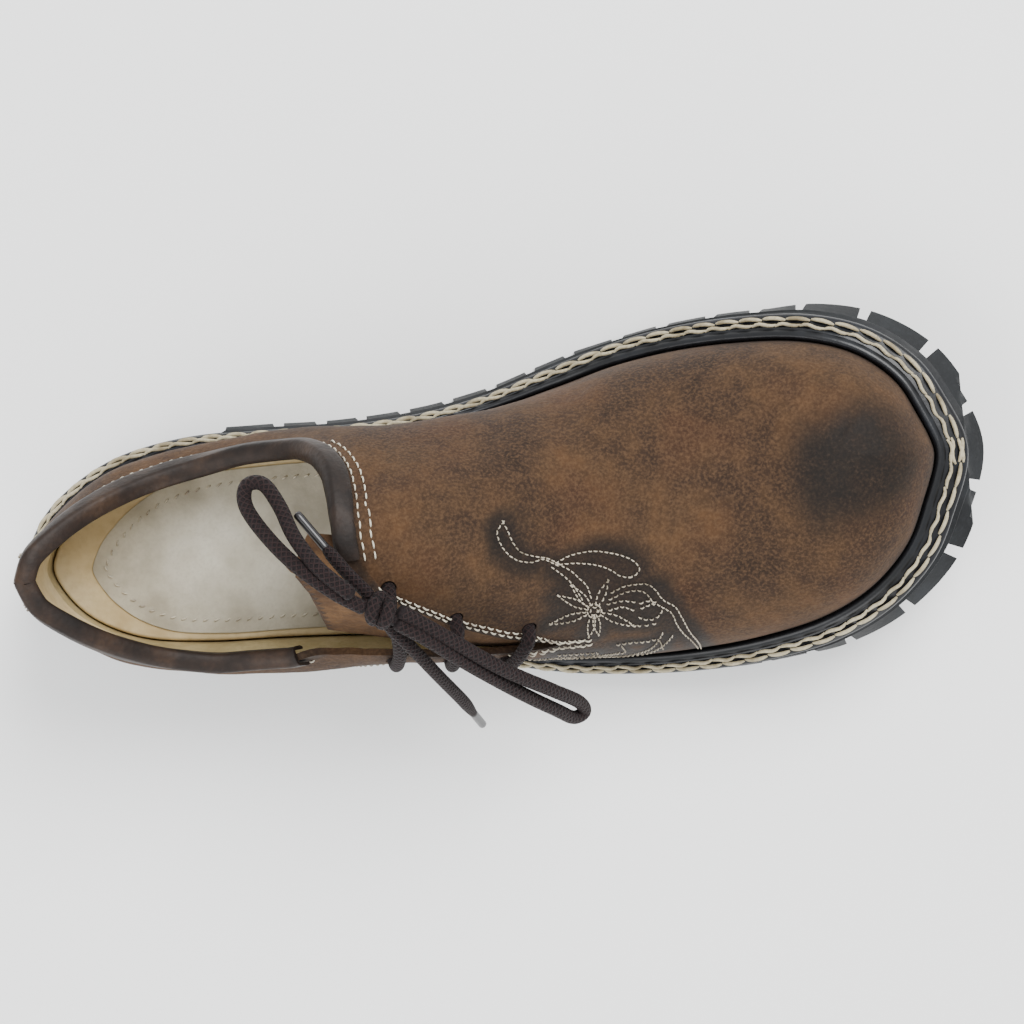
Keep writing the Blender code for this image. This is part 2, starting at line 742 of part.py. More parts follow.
def settle(side, at, target):
    """Nearest place to a target on the outer surface, near the collar, and the normal there."""
    up, step = 0.97, 0.002
    for _ in range(8):
        here = surface(side, at, up)
        by_round = (surface(side, at + step, up) - surface(side, at - step, up)) / (2 * step)
        by_up = (here - surface(side, at, up - step)) / step
        miss = target - here
        a, b, c = by_round.dot(by_round), by_round.dot(by_up), by_up.dot(by_up)
        u, v = miss.dot(by_round), miss.dot(by_up)
        spread = max(a * c - b * b, 1e-12)
        at = min(max(at + (c * u - b * v) / spread, 0.4), 0.997)
        up = min(max(up + (a * v - b * u) / spread, 0.5), 1.0)
    return surface(side, at, up), surface_normal(side, at, up)


def collar_frame(side, way):
    """Edge point of the collar, the direction out of the leather's face and off its edge."""
    at = THROAT + (1 - THROAT) * way
    point = top_of_column(side, at)[0]
    step = 0.01

    def edge(which, share):
        return top_of_column(which, THROAT + (1 - THROAT) * share)[0]
    if way < step:
        run = (edge(INNER, step) - edge(OUTER, step)) * side
    elif way > 1 - step:
        run = (edge(OUTER, 1 - step) - edge(INNER, 1 - step)) * side
    else:
        run = edge(side, way + step) - edge(side, way - step)
    run.normalize()
    out = surface_normal(side, min(at, 0.996), 0.985)
    out = (out - run * out.dot(run)).normalized()
    off = out.cross(run) * side
    return point, out, off


def make_binding(look, collection):
    """Rolled strip over the edge, from the slit's vamp corner round to its quarter corner."""
    def section(side, way):
        point, out, off = collar_frame(side, way)
        outer, inner = BINDING_GAP, -UPPER_WALL - BINDING_INSIDE_GAP
        thick = BINDING_THICK
        shape = [(outer, -BINDING_WIDTH), (outer + thick * 0.8, -BINDING_WIDTH), (outer + thick, 0.0),
                 (outer + thick * 0.5, thick + GAP), (inner - thick * 0.5, thick + GAP), (inner - thick, 0.0),
                 (inner - thick * 0.8, -BINDING_INSIDE), (inner, -BINDING_INSIDE), (inner, GAP), (outer, GAP)]
        points = []
        for away, down in shape:
            spot, facing = point, out
            spot = point + off * down
            if down < -GAP:
                spot, facing = settle(side, THROAT + (1 - THROAT) * way, spot)
            points.append(spot + facing * away)
        return points
    ways = [0.0] + list(COLLAR_STATIONS)
    sections = [section(OUTER, VAMP_CORNER)] + [section(INNER, way) for way in ways] + [section(INNER, 1.0)]
    rear = [way for way in COLLAR_STATIONS if way > QUARTER_CORNER + 0.01][::-1] + [QUARTER_CORNER]
    sections += [section(OUTER, way) for way in rear]
    return finish_mesh("collar_binding", ring_mesh(sections, closed_path=False), look, collection)


def make_backstay(look, collection):
    """Strip up the back of the heel, on the upper and under the binding."""
    highest, count = 0.86, 8
    reach = BACKSTAY_WIDTH
    line = SIDES[INNER]
    total = float(np.sum(np.linalg.norm(np.diff(line, axis=0), axis=1)))
    shares = [1 - reach / total, 1 - 0.5 * reach / total, 1.0]
    places = [(INNER, share) for share in shares] + [(OUTER, share) for share in shares[-2::-1]]
    sections = []
    for k in range(count + 1):
        up = 0.13 + (highest - 0.13) * k / count
        outer_line, inner_line = [], []
        for side, at in places:
            point = surface(side, at, up)
            out = surface_normal(side, at, up) if at < 0.999 else Vector((-1, 0, 0))
            outer_line.append(point + out * (BACKSTAY_GAP + BACKSTAY_THICK))
            inner_line.append(point + out * BACKSTAY_GAP)
        sections.append(outer_line + inner_line[::-1])
    return finish_mesh("backstay", ring_mesh(sections, closed_path=False), look, collection)


def make_tongue(look, collection):
    """Leaf under the slit, a gap inside the upper, carried on behind the throat."""
    def leaf_point(at, up, deep):
        return surface(OUTER, at, up) - surface_normal(OUTER, at, up) * deep
    sections = []
    for share, low, high, sunk, carried in TONGUE_ROWS:
        ups = [low + (high - low) * k / TONGUE_ACROSS for k in range(TONGUE_ACROSS + 1)]
        deep = UPPER_WALL + sunk
        move = Vector((-carried, carried * TONGUE_TAPER, 0))
        top_face = [leaf_point(THROAT * share, up, deep) + move for up in ups]
        bottom_face = [leaf_point(THROAT * share, up, deep + TONGUE_THICK) + move for up in ups]
        sections.append(top_face + bottom_face[::-1])
    return finish_mesh("tongue", ring_mesh(sections, closed_path=False), look, collection)


def tube(name, points, diameter, look, collection, resolution=3):
    """Round tube along points, with closed ends."""
    curve = bpy.data.curves.new(name, "CURVE")
    curve.dimensions = "3D"
    curve.bevel_depth = diameter / 2
    curve.bevel_resolution = resolution
    curve.use_fill_caps = True
    spline = curve.splines.new("POLY")
    spline.points.add(len(points) - 1)
    for place, point in zip(spline.points, points):
        place.co = (*point, 1.0)
    curve.materials.append(look)
    made = bpy.data.objects.new(name, curve)
    collection.objects.link(made)
    return made


def make_lace_bars(look, collection):
    """Three crossings of the lace over the slit, each lying on the leather."""
    for number, (vamp, quarter) in enumerate(zip(VAMP_HOLES, QUARTER_HOLES)):
        points = []
        steps = 6
        for k in range(steps + 1):
            share = k / steps
            at = THROAT * (vamp[0] + (quarter[0] - vamp[0]) * share)
            up = vamp[1] + (quarter[1] - vamp[1]) * share
            lift = LACE / 2 + LACE_REST + BAR_ARCH[number] * math.sin(math.pi * share)
            points.append(surface(OUTER, at, up) + surface_normal(OUTER, at, up) * lift)
        tube("lace_bar_%d" % (number + 1), smooth_path(points, ROUTE_STEP * 0.8), LACE, look, collection, 2)


def make_bow(lace, tip, collection):
    """Knot over the top bar, two loops and two ends with their tips."""
    bm = bmesh.new()
    bmesh.ops.create_uvsphere(bm, u_segments=12, v_segments=8, radius=1.0)
    bmesh.ops.scale(bm, vec=KNOT_SIZE, verts=bm.verts)
    knot = finish_mesh("lace_knot", bm, lace, collection)
    knot.location = KNOT
    tube("lace_loop_rear", smooth_path(LOOP_REAR, ROUTE_STEP), LACE, lace, collection, 2)
    tube("lace_loop_side", smooth_path(LOOP_SIDE, ROUTE_STEP), LACE, lace, collection, 2)
    for name, route in (("rear", END_REAR), ("side", END_SIDE)):
        path = smooth_path(route, ROUTE_STEP)
        tube("lace_end_" + name, path, LACE * 0.9, lace, collection, 2)
        run = (path[-1] - path[-2]).normalized()
        start = path[-1] + run * GAP
        tube("lace_tip_" + name, [start, start + run * AGLET_LENGTH * 0.5, start + run * AGLET_LENGTH],
             AGLET, tip, collection, 2)


def main():
    for old in list(bpy.data.objects):
        bpy.data.objects.remove(old, do_unlink=True)
    shoe = bpy.data.collections.new("side_laced_shoe")
    cutters = bpy.data.collections.new("cutters")
    bpy.context.scene.collection.children.link(shoe)
    bpy.context.scene.collection.children.link(cutters)

    rubber = material("black_rubber", (0.012, 0.012, 0.014), 0.7)
    mid = material("dark_midsole", (0.020, 0.016, 0.014), 0.6)
    welt = material("welt_leather", (0.012, 0.014, 0.020), 0.4)
    suede = material("waxed_suede", (0.105, 0.055, 0.030), 0.85)
    dark = material("dark_leather", (0.035, 0.022, 0.017), 0.6)
    tan = material("tan_suede", (0.170, 0.095, 0.050), 0.9)
    sock = material("sock_leather", (0.62, 0.58, 0.52), 0.7)
    lace = material("lace_cord", (0.018, 0.010, 0.012), 0.8)
    tip = material("lace_tip", (0.010, 0.010, 0.010), 0.35)

    make_outsole(rubber, shoe, cutters)
    make_midsole(mid, shoe)
    make_welt(welt, shoe)
    make_insole(sock, shoe)
    make_upper(suede, shoe, cutters)
    make_binding(dark, shoe)
    make_backstay(dark, shoe)
    make_tongue(tan, shoe)
    make_lace_bars(lace, shoe)
    make_bow(lace, tip, shoe)


main()
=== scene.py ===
# %% [markdown]
# # A traditional side-laced shoe
#
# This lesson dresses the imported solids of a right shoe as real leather, thread, cord and rubber.
# The shoe stands empty on its sole: +X runs to the toe, +Y to the inner side of the foot and +Z up.
# Everything is in metres, and each finished piece keeps its object at the origin with its place in
# its mesh, so that patterns on object coordinates never slide.

import bisect
import math

import bmesh
import bpy
import numpy as np
from mathutils import Matrix, Vector, noise
from mathutils.bvhtree import BVHTree
from mathutils.kdtree import KDTree


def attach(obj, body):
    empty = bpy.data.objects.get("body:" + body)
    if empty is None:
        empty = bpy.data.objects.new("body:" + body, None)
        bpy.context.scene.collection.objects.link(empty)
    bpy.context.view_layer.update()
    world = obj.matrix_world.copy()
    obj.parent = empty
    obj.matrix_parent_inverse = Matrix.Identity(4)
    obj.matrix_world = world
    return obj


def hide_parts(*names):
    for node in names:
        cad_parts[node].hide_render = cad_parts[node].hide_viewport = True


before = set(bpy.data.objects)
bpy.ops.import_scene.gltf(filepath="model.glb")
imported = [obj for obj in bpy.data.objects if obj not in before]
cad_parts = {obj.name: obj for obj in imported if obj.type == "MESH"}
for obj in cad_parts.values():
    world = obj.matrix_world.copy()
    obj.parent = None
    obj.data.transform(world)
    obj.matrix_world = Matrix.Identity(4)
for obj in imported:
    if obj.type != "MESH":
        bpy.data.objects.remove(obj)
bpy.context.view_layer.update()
INNER, OUTER = 1, -1

# %% [markdown]
# ## Camera
#
# A product photo like this is taken from straight above with a long lens, so that the toe and the
# heel keep their true proportions. The camera stands where the photographer's did, three quarters
# of a metre over the floor, and is turned to have the whole shoe in the middle of the picture.
# The small roll lays the shoe as it lies in the picture.

# %% Camera
CAMERA_PLACE = Vector((0.00366, 0.0474, 0.750))
CAMERA_AIM = Vector((0.0030, 0.0020, 0.030))
CAMERA_ROLL = math.radians(-5.97)
CAMERA_LENS, SENSOR, PHOTO_SIDE = 81.5, 36.0, 1024


def make_camera():
    data = bpy.data.cameras.new("photo_camera")
    data.lens = CAMERA_LENS
    data.sensor_width = SENSOR
    data.clip_start = 0.01
    made = bpy.data.objects.new("photo_camera", data)
    bpy.context.collection.objects.link(made)
    back = (CAMERA_PLACE - CAMERA_AIM).normalized()
    picture_up = Vector((-math.sin(CAMERA_ROLL), math.cos(CAMERA_ROLL), 0))
    right = picture_up.cross(back).normalized()
    turn = Matrix((right, back.cross(right), back)).transposed().to_4x4()
    made.matrix_world = Matrix.Translation(CAMERA_PLACE) @ turn
    bpy.context.scene.camera = made


make_camera()


def photo_ray(across, down):
    """Direction from the camera's place through a pixel of the photograph."""
    middle = PHOTO_SIDE / 2
    look = Vector(((across - middle) / PHOTO_SIDE * SENSOR, -(down - middle) / PHOTO_SIDE * SENSOR,
                   -CAMERA_LENS))
    look.rotate(Matrix.Rotation(CAMERA_ROLL, 3, "Z"))
    return look.normalized()


def clamp(value, low=0.0, high=1.0):
    return min(high, max(low, value))


# %% [markdown]
# ## Small helpers for finishes
#
# Every finish is a Principled shader fed by a few texture nodes. Small functions keep that short:
# one turns a hex colour, as seen on a screen, into the linear numbers that a shader needs, and one
# adds a node with its settings and links in a single call.

# %% Colour and node helpers
def tone(code):
    """Linear colour from an sRGB hex value."""
    parts = [int(code[i:i + 2], 16) / 255 for i in (1, 3, 5)]
    return (*[p / 12.92 if p <= 0.04045 else ((p + 0.055) / 1.055) ** 2.4 for p in parts], 1.0)


def give(tree, socket, value):
    """Set a socket to a value, or link another node's output to it."""
    if isinstance(value, bpy.types.NodeSocket):
        tree.links.new(value, socket)
    else:
        socket.default_value = value


def add(tree, kind, inputs=None, **settings):
    """A node with its settings and its inputs, each a value or another node's output."""
    made = tree.nodes.new(kind)
    for name, value in settings.items():
        setattr(made, name, value)
    for name, value in (inputs or {}).items():
        give(tree, made.inputs[name], value)
    return made


def new_finish(name, values):
    """A material with its tree and its shader, given the values that are the same all over."""
    made = bpy.data.materials.new(name)
    made.use_nodes = True
    shader = made.node_tree.nodes["Principled BSDF"]
    for socket, value in values.items():
        shader.inputs[socket].default_value = value
    return made, made.node_tree, shader


def ramp(tree, factor, stops):
    """Colour ramp through (place, hex) stops."""
    made = add(tree, "ShaderNodeValToRGB", {"Fac": factor})
    band = made.color_ramp
    band.elements[0].position, band.elements[0].color = stops[0][0], tone(stops[0][1])
    band.elements[1].position, band.elements[1].color = stops[-1][0], tone(stops[-1][1])
    for place, code in stops[1:-1]:
        band.elements.new(place).color = tone(code)
    return made.outputs["Color"]


def patch_noise(tree, size, detail=3.0, rough=0.55):
    """Noise whose spots are about size metres wide."""
    place = add(tree, "ShaderNodeTexCoord").outputs["Object"]
    made = add(tree, "ShaderNodeTexNoise", {"Vector": place, "Scale": 0.6 / size, "Detail": detail,
                                            "Roughness": rough})
    return made.outputs["Fac"]


def between(tree, value, low, high, new_low=0.0, new_high=1.0):
    """Value spread from low..high to new_low..new_high, without passing them."""
    return add(tree, "ShaderNodeMapRange", {"Value": value, "From Min": low, "From Max": high,
                                            "To Min": new_low, "To Max": new_high}).outputs["Result"]


def blend(tree, factor, first, second):
    """Colour that goes from the first to the second as the factor goes from 0 to 1."""
    made = add(tree, "ShaderNodeMix", data_type="RGBA")
    for place, value in ((0, factor), (6, first), (7, second)):
        give(tree, made.inputs[place], value)
    return made.outputs[2]


def sums(tree, way, first, second=0.0):
    """Result of one arithmetic operation."""
    made = add(tree, "ShaderNodeMath", operation=way)
    give(tree, made.inputs[0], first)
    give(tree, made.inputs[1], second)
    return made.outputs[0]


def relief(tree, shader, layers):
    """Chain of bumps: each layer is a height, its depth in metres and its strength."""
    before = None
    for height, depth, strength in layers:
        inputs = {"Height": height, "Distance": depth, "Strength": strength}
        if before:
            inputs["Normal"] = before
        before = add(tree, "ShaderNodeBump", inputs).outputs["Normal"]
    tree.links.new(before, shader.inputs["Normal"])


# %% [markdown]
# ## The laces, first of all
#
# The lace is a round braided cord of about 4 mm in dark brown with a violet cast. A braid is two
# sets of strands that wind round the core in opposite directions, so its finish is drawn on the
# tube's own UV: two families of slanting bands whose higher one wins at each point. The strands are
# about 0.9 mm wide.

# %% Braided cord finish
STRANDS = 6          # bands of strands each way round the cord
BRAID_LAY = 2.6      # diameters along the cord for one turn of a strand


def make_cord_finish():
    finish, tree, shader = new_finish("braided_cotton_cord", {
        "Roughness": 0.72, "Specular IOR Level": 0.15, "Sheen Weight": 0.02, "Sheen Roughness": 0.5})
    uv = add(tree, "ShaderNodeUVMap", uv_map="UVMap").outputs["UV"]
    parts = add(tree, "ShaderNodeSeparateXYZ", {"Vector": uv}).outputs
    around = sums(tree, "MULTIPLY", parts["X"], STRANDS * math.tau)
    along = sums(tree, "MULTIPLY", parts["Y"], math.tau)
    one = sums(tree, "SINE", sums(tree, "ADD", around, along))
    two = sums(tree, "SINE", sums(tree, "SUBTRACT", around, along))
    strand = between(tree, sums(tree, "MAXIMUM", one, two), -0.3, 1.0)
    # painted shade: the grooves between the strands are coloured near black and the strand crests lighter
    colour = ramp(tree, strand, [(0.0, "#050304"), (0.55, "#110b0c"), (1.0, "#241817")])
    fibre = patch_noise(tree, 0.0004)
    tree.links.new(blend(tree, between(tree, fibre, 0.35, 0.7, 0.0, 0.5), colour, tone("#2a1f1f")),
                   shader.inputs["Base Color"])
    relief(tree, shader, [(strand, 0.0005, 0.9), (fibre, 0.0001, 0.35)])
    return finish


cord_finish = make_cord_finish()

# %% [markdown]
# A tube is lofted ring by ring along a smooth path. Carrying one frame along the path, instead of
# aiming each ring anew, keeps the braid from twisting. The ends are closed with domes of rings.

# %% Paths and tubes
def smooth_path(points, step, closed=False):
    """Points a step apart along a smooth curve through the given ones."""
    pts = [Vector(p) for p in points]
    count = len(pts)
    dense = []
    for i in range(count if closed else count - 1):
        near, far = pts[i], pts[(i + 1) % count]
        before = pts[(i - 1) % count] if closed or i else near * 2 - far
        after = pts[(i + 2) % count] if closed or i < count - 2 else far * 2 - near
        for k in range(16):
            t = k / 16
            pull = 2 * before - 5 * near + 4 * far - after
            turn = 3 * near - before - 3 * far + after
            dense.append(0.5 * (2 * near + (far - before) * t + pull * t**2 + turn * t**3))
    dense.append(pts[0] if closed else pts[-1])
    lengths = [0.0]
    for a, b in zip(dense, dense[1:]):
        lengths.append(lengths[-1] + (b - a).length)
    pieces = max(2, round(lengths[-1] / step))
    result = []
    for k in range(pieces + (0 if closed else 1)):
        at = lengths[-1] * k / pieces
        i = min(bisect.bisect_right(lengths, at) - 1, len(dense) - 2)
        share = (at - lengths[i]) / max(lengths[i + 1] - lengths[i], 1e-9)
        result.append(dense[i].lerp(dense[i + 1], share))
    return result


def tube_into(bm, path, radius, sides=20, closed=False, squeeze=None):
    """Tube along path with a UV that counts turns across and strand pitches along."""
    uv = bm.loops.layers.uv.get("UVMap") or bm.loops.layers.uv.new("UVMap")
    count = len(path)
    tangents = []
    for i in range(count):
        ahead = path[(i + 1) % count] if closed or i < count - 1 else path[i]
        back = path[i - 1] if closed or i else path[0]
        tangents.append((ahead - back).normalized())
    side = tangents[0].orthogonal().normalized()
    rings, run = [], 0.0
    turn = BRAID_LAY * 2 * radius
    for i, point in enumerate(path):
        side = (side - tangents[i] * side.dot(tangents[i])).normalized()
        if i:
            run += (point - path[i - 1]).length
        lift = tangents[i].cross(side)
        width = squeeze(i / (count - 1)) if squeeze else 1.0
        ring = [bm.verts.new(point + (side * math.cos(a) + lift * math.sin(a)) * radius * width)
                for a in (math.tau * k / sides for k in range(sides))]
        rings.append((ring, run / turn * STRANDS))
    pairs = list(zip(rings, rings[1:])) + ([(rings[-1], rings[0])] if closed else [])
    for (near, low), (far, high) in pairs:
        for k in range(sides):
            after = (k + 1) % sides
            face = bm.faces.new((near[k], near[after], far[after], far[k]))
            for loop, (u, v) in zip(face.loops, ((k, low), (k + 1, low), (k + 1, high), (k, high))):
                loop[uv].uv = (u / sides, v)
    if not closed:
        for (ring, _), tangent, sign in ((rings[0], tangents[0], -1), (rings[-1], tangents[-1], 1)):
            inner = ring
            middle = sum((v.co for v in ring), Vector()) / sides
            for share, out in ((0.78, 0.35), (0.35, 0.52)):
                smaller = [bm.verts.new(middle + (v.co - middle) * share + tangent * sign * radius * out)
                           for v in ring]
                for k in range(sides):
                    after = (k + 1) % sides
                    bm.faces.new((inner[k], inner[after], smaller[after], smaller[k]))
                inner = smaller
            bm.faces.new(inner)


def finish_mesh(name, bm, finishes, sharp=None):
    """Object from a bmesh, faces outward and smooth, at the origin."""
    bmesh.ops.remove_doubles(bm, verts=bm.verts, dist=1e-7)
    bmesh.ops.recalc_face_normals(bm, faces=bm.faces)
    mesh = bpy.data.meshes.new(name)
    bm.to_mesh(mesh)
    bm.free()
    mesh.shade_smooth()
    if sharp:
        mesh.set_sharp_from_angle(angle=math.radians(sharp))
    for look in finishes:
        mesh.materials.append(look)
    made = bpy.data.objects.new(name, mesh)
    bpy.context.collection.objects.link(made)
    return made


def path_length(path):
    """Length of a path in metres."""
    return sum((b - a).length for a, b in zip(path, path[1:]))


# %% [markdown]
# The bow is tied over the top bar. Its two loops and two ends are free cord, each with its real
# length: they leave the knot, and the ends finish in a thin hard tip. The route of each is the same
# as in the solids, so the dressed cord lies where the solid one does.

# %% Bow
LACE = 0.0042
AGLET = 0.0026
AGLET_LENGTH = 0.0120
KNOT = Vector((-0.0365, -0.0170, 0.1023))
LOOP_REAR = [(-0.0413, -0.0155, 0.1049), (-0.0490, -0.0100, 0.1070), (-0.0590, -0.0010, 0.1065),
             (-0.0665, 0.0080, 0.1035), (-0.0710, 0.0160, 0.1010), (-0.0702, 0.0215, 0.1000),
             (-0.0655, 0.0215, 0.1005), (-0.0615, 0.0150, 0.1020), (-0.0580, 0.0060, 0.1050),
             (-0.0520, -0.0030, 0.1085), (-0.0440, -0.0110, 0.1090)]
LOOP_SIDE = [(-0.0319, -0.0213, 0.1030), (-0.0250, -0.0265, 0.1000), (-0.0130, -0.0370, 0.0900),
             (0.0000, -0.0480, 0.0765), (0.0100, -0.0560, 0.0640), (0.0150, -0.0600, 0.0560),
             (0.0185, -0.0590, 0.0535), (0.0170, -0.0550, 0.0590), (0.0095, -0.0490, 0.0715),
             (-0.0040, -0.0395, 0.0860), (-0.0180, -0.0280, 0.0970), (-0.0306, -0.0179, 0.1041)]
END_REAR = [(-0.0392, -0.0125, 0.1021), (-0.0450, -0.0050, 0.1036), (-0.0500, 0.0022, 0.1028)]
END_SIDE = [(-0.0354, -0.0211, 0.0998), (-0.0290, -0.0300, 0.0940), (-0.0230, -0.0400, 0.0820),
            (-0.0175, -0.0500, 0.0650), (-0.0150, -0.0560, 0.0530)]


def make_tip_finish():
    finish, tree, shader = new_finish("moulded_lace_tip", {"Base Color": tone("#141112"), "Roughness": 0.28})
    relief(tree, shader, [(patch_noise(tree, 0.0012), 0.0001, 0.3)])
    return finish


tip_finish = make_tip_finish()


def make_cord(name, route, finish, radius, squeeze=None, step=0.0007, sides=20):
    """A cord's piece and its path."""
    path = smooth_path(route, step)
    bm = bmesh.new()
    tube_into(bm, path, radius, sides=sides, squeeze=squeeze)
    return finish_mesh(name, bm, [finish]), path


def make_knot():
    """Two turns of the cord round the bow's own direction, over a short core."""
    bm = bmesh.new()
    axis = Vector((0.80, -0.55, 0.05)).normalized()
    for shift, lean, radius in ((-0.0010, 0.30, 0.0033), (0.0014, -0.38, 0.0031)):
        normal = (axis + Vector((0, 0.2, lean))).normalized()
        side = normal.orthogonal().normalized()
        lift = normal.cross(side)
        ring = [KNOT + axis * shift + (side * math.cos(a) + lift * math.sin(a)) * radius
                for a in (math.tau * k / 44 for k in range(44))]
        tube_into(bm, ring, LACE * 0.47, sides=16, closed=True)
    core = [KNOT - axis * 0.0050 + Vector((0, 0, -0.0006)), KNOT, KNOT + axis * 0.0050]
    tube_into(bm, smooth_path(core, 0.0008), LACE * 0.55, sides=16)
    return finish_mesh("lace_bow_knot", bm, [cord_finish])


knot = make_knot()
loop_rear, loop_rear_path = make_cord("lace_bow_loop_rear", LOOP_REAR, cord_finish, LACE / 2)
loop_side, loop_side_path = make_cord("lace_bow_loop_side", LOOP_SIDE, cord_finish, LACE / 2)
END_THICK = LACE * 0.9      # an end is pulled thinner than a loop
bow_ends = []
for where, route in (("rear", END_REAR), ("side", END_SIDE)):
    end, end_path = make_cord("lace_bow_end_" + where, route, cord_finish, END_THICK / 2,
                              squeeze=lambda t: 1.0 - 0.35 * max(0.0, (t - 0.8) / 0.2) ** 2)
    last = end_path[-1]
    heading = (last - end_path[-2]).normalized()
    tip_route = [last + heading * way for way in (-0.0006, AGLET_LENGTH / 2, AGLET_LENGTH)]
    tip, _ = make_cord("lace_bow_tip_" + where, tip_route, tip_finish, AGLET / 2, step=0.0012, sides=16)
    bow_ends.append((where, end, end_path, tip))
print("bow loops, mm:", round(path_length(loop_rear_path) * 1000), round(path_length(loop_side_path) * 1000))

# %% [markdown]
# A dressed piece rides on the one body of the shoe and replaces the plain solid that it was drawn over. The
# rear end is shorter than 30 mm. The rear end is too short to be a cord by itself, so it goes with the rear
# loop.

SHORTEST_CORD = 0.03


def dress(piece, node):
    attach(piece, "root")
    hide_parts(node)


short_ends = [piece for _, end, end_path, tip in bow_ends if path_length(end_path) < SHORTEST_CORD
              for piece in (end, tip)]
for piece, path, node, others in ((loop_rear, loop_rear_path, "lace_loop_rear", [knot] + short_ends),
                                  (loop_side, loop_side_path, "lace_loop_side", [])):
    dress(piece, node)
dress(knot, "lace_knot")
for where, end, end_path, tip in bow_ends:
    dress(end, "lace_end_" + where)
    dress(tip, "lace_tip_" + where)

# %% [markdown]
# ## The last
#
# Every part of a shoe is drawn over one wooden form, the last. Here it is a rule: an outline of the
# welt seen from above, a side profile of the welt, and columns that climb from the outline to the
# crest of the vamp or to the collar. The tables hold shares of the shoe's own length, width and
# height. Reading them with a curve that never overshoots keeps the surface free of bulges.

# %% The last's sizes and tables
LENGTH, BALL_WIDTH, INSTEP_HEIGHT = 0.300, 0.1100, 0.100
HEEL_STACK, BALL_STACK, TOE_SPRING = 0.027, 0.015, 0.034
UPPER_WALL, WELT_THICK, BEAD_HEIGHT, BEAD_WIDTH = 0.0022, 0.0030, 0.0034, 0.0030
MIDSOLE_THICK, INSOLE_THICK, INSOLE_GAP, GAP = 0.0042, 0.0060, 0.0006, 0.0003
HEEL_SEAT, LUG_HEIGHT, LUG_DEPTH, GROOVE = 0.0150, 0.0042, 0.0130, 0.0036
SIDE_PITCH, TOE_PITCH, HEEL_PITCH, CENTRE_PITCH = 0.0135, 0.0210, 0.0150, 0.0230
OVERSHOOT, TREAD_FLARE, TOE_FLARE, HEEL_TAPER = 0.0040, 0.0018, 0.0055, 0.0030
BINDING_WIDTH, BINDING_INSIDE, BINDING_THICK = 0.0052, 0.0030, 0.0011
BACKSTAY_WIDTH, BACKSTAY_THICK, BACKSTAY_GAP, TONGUE_THICK = 0.0120, 0.0012, 0.0004, 0.0018
LACE_HOLE, LACE_REST, TOE_OVERHANG = 0.0046, 0.0004, 0.0075
WELT_TIP, HEEL_TIP = LENGTH / 2 - TOE_OVERHANG, -LENGTH / 2
TOE_TIP_SHARE, HEEL_TIP_SHARE, THROAT_ALONG = 0.070, -0.008, -0.115 * LENGTH

WELT_OUTLINE = [  # along, inner, outer
    (0.455, 0.235, 0.105), (0.430, 0.345, 0.235), (0.385, 0.437, 0.352), (0.327, 0.487, 0.432),
    (0.260, 0.500, 0.478), (0.195, 0.492, 0.498), (0.130, 0.462, 0.497), (0.060, 0.407, 0.477),
    (-0.010, 0.350, 0.435), (-0.080, 0.318, 0.392), (-0.160, 0.310, 0.357), (-0.240, 0.320, 0.338),
    (-0.320, 0.322, 0.328), (-0.390, 0.290, 0.302), (-0.445, 0.215, 0.235), (-0.482, 0.118, 0.135)]
WELT_PROFILE = [  # along, height
    (-0.500, HEEL_STACK), (-0.300, HEEL_STACK),
    (-0.160, BALL_STACK + 0.58 * (HEEL_STACK - BALL_STACK)),
    (-0.060, BALL_STACK + 0.12 * (HEEL_STACK - BALL_STACK)),
    (0.000, BALL_STACK), (0.095, BALL_STACK), (0.170, BALL_STACK + 0.13 * TOE_SPRING),
    (0.255, BALL_STACK + 0.43 * TOE_SPRING), (0.340, BALL_STACK + 0.75 * TOE_SPRING),
    (0.476, BALL_STACK + TOE_SPRING)]
SOLE_DEPTH = [  # along, depth
    (-0.500, HEEL_STACK), (-0.322, HEEL_STACK), (-0.300, HEEL_STACK - 0.004),
    (-0.285, HEEL_SEAT - LUG_HEIGHT + 0.002), (-0.260, HEEL_SEAT - LUG_HEIGHT + 0.001),
    (-0.235, BALL_STACK), (0.250, BALL_STACK), (0.476, BALL_STACK - 0.0015)]
WELT_SHOW = [  # along, width of welt outside the upper
    (-0.500, 0.0062), (-0.300, 0.0050), (-0.150, 0.0046), (-0.030, 0.0050), (0.080, 0.0066),
    (0.200, 0.0076), (0.330, 0.0082), (0.476, 0.0100)]
CREST = [  # along, crest_along, across, height, squareness
    (-0.115, -0.155, 0.036, 1.000, 2.45), (-0.070, -0.103, 0.036, 0.970, 2.40),
    (-0.010, -0.032, 0.036, 0.895, 2.30), (0.060, 0.045, 0.040, 0.785, 2.25),
    (0.130, 0.118, 0.045, 0.692, 2.25), (0.200, 0.185, 0.055, 0.645, 2.30),
    (0.270, 0.245, 0.068, 0.652, 2.35), (0.350, 0.295, 0.082, 0.690, 2.40),
    (0.420, 0.328, 0.092, 0.712, 2.40), (0.476, 0.352, 0.096, 0.712, 2.40)]
INNER_COLLAR = [  # round, along, across, height, closing
    (0.000, -0.155, 0.036, 1.000, 90), (0.035, -0.155, 0.120, 0.975, 78),
    (0.075, -0.157, 0.195, 0.925, 66), (0.125, -0.169, 0.255, 0.835, 56),
    (0.180, -0.195, 0.282, 0.735, 50), (0.260, -0.238, 0.280, 0.660, 46),
    (0.370, -0.294, 0.256, 0.615, 44), (0.480, -0.340, 0.230, 0.640, 42),
    (0.620, -0.394, 0.178, 0.730, 42), (0.760, -0.432, 0.120, 0.805, 42),
    (0.880, -0.458, 0.060, 0.840, 42), (1.000, -0.467, 0.000, 0.850, 42)]
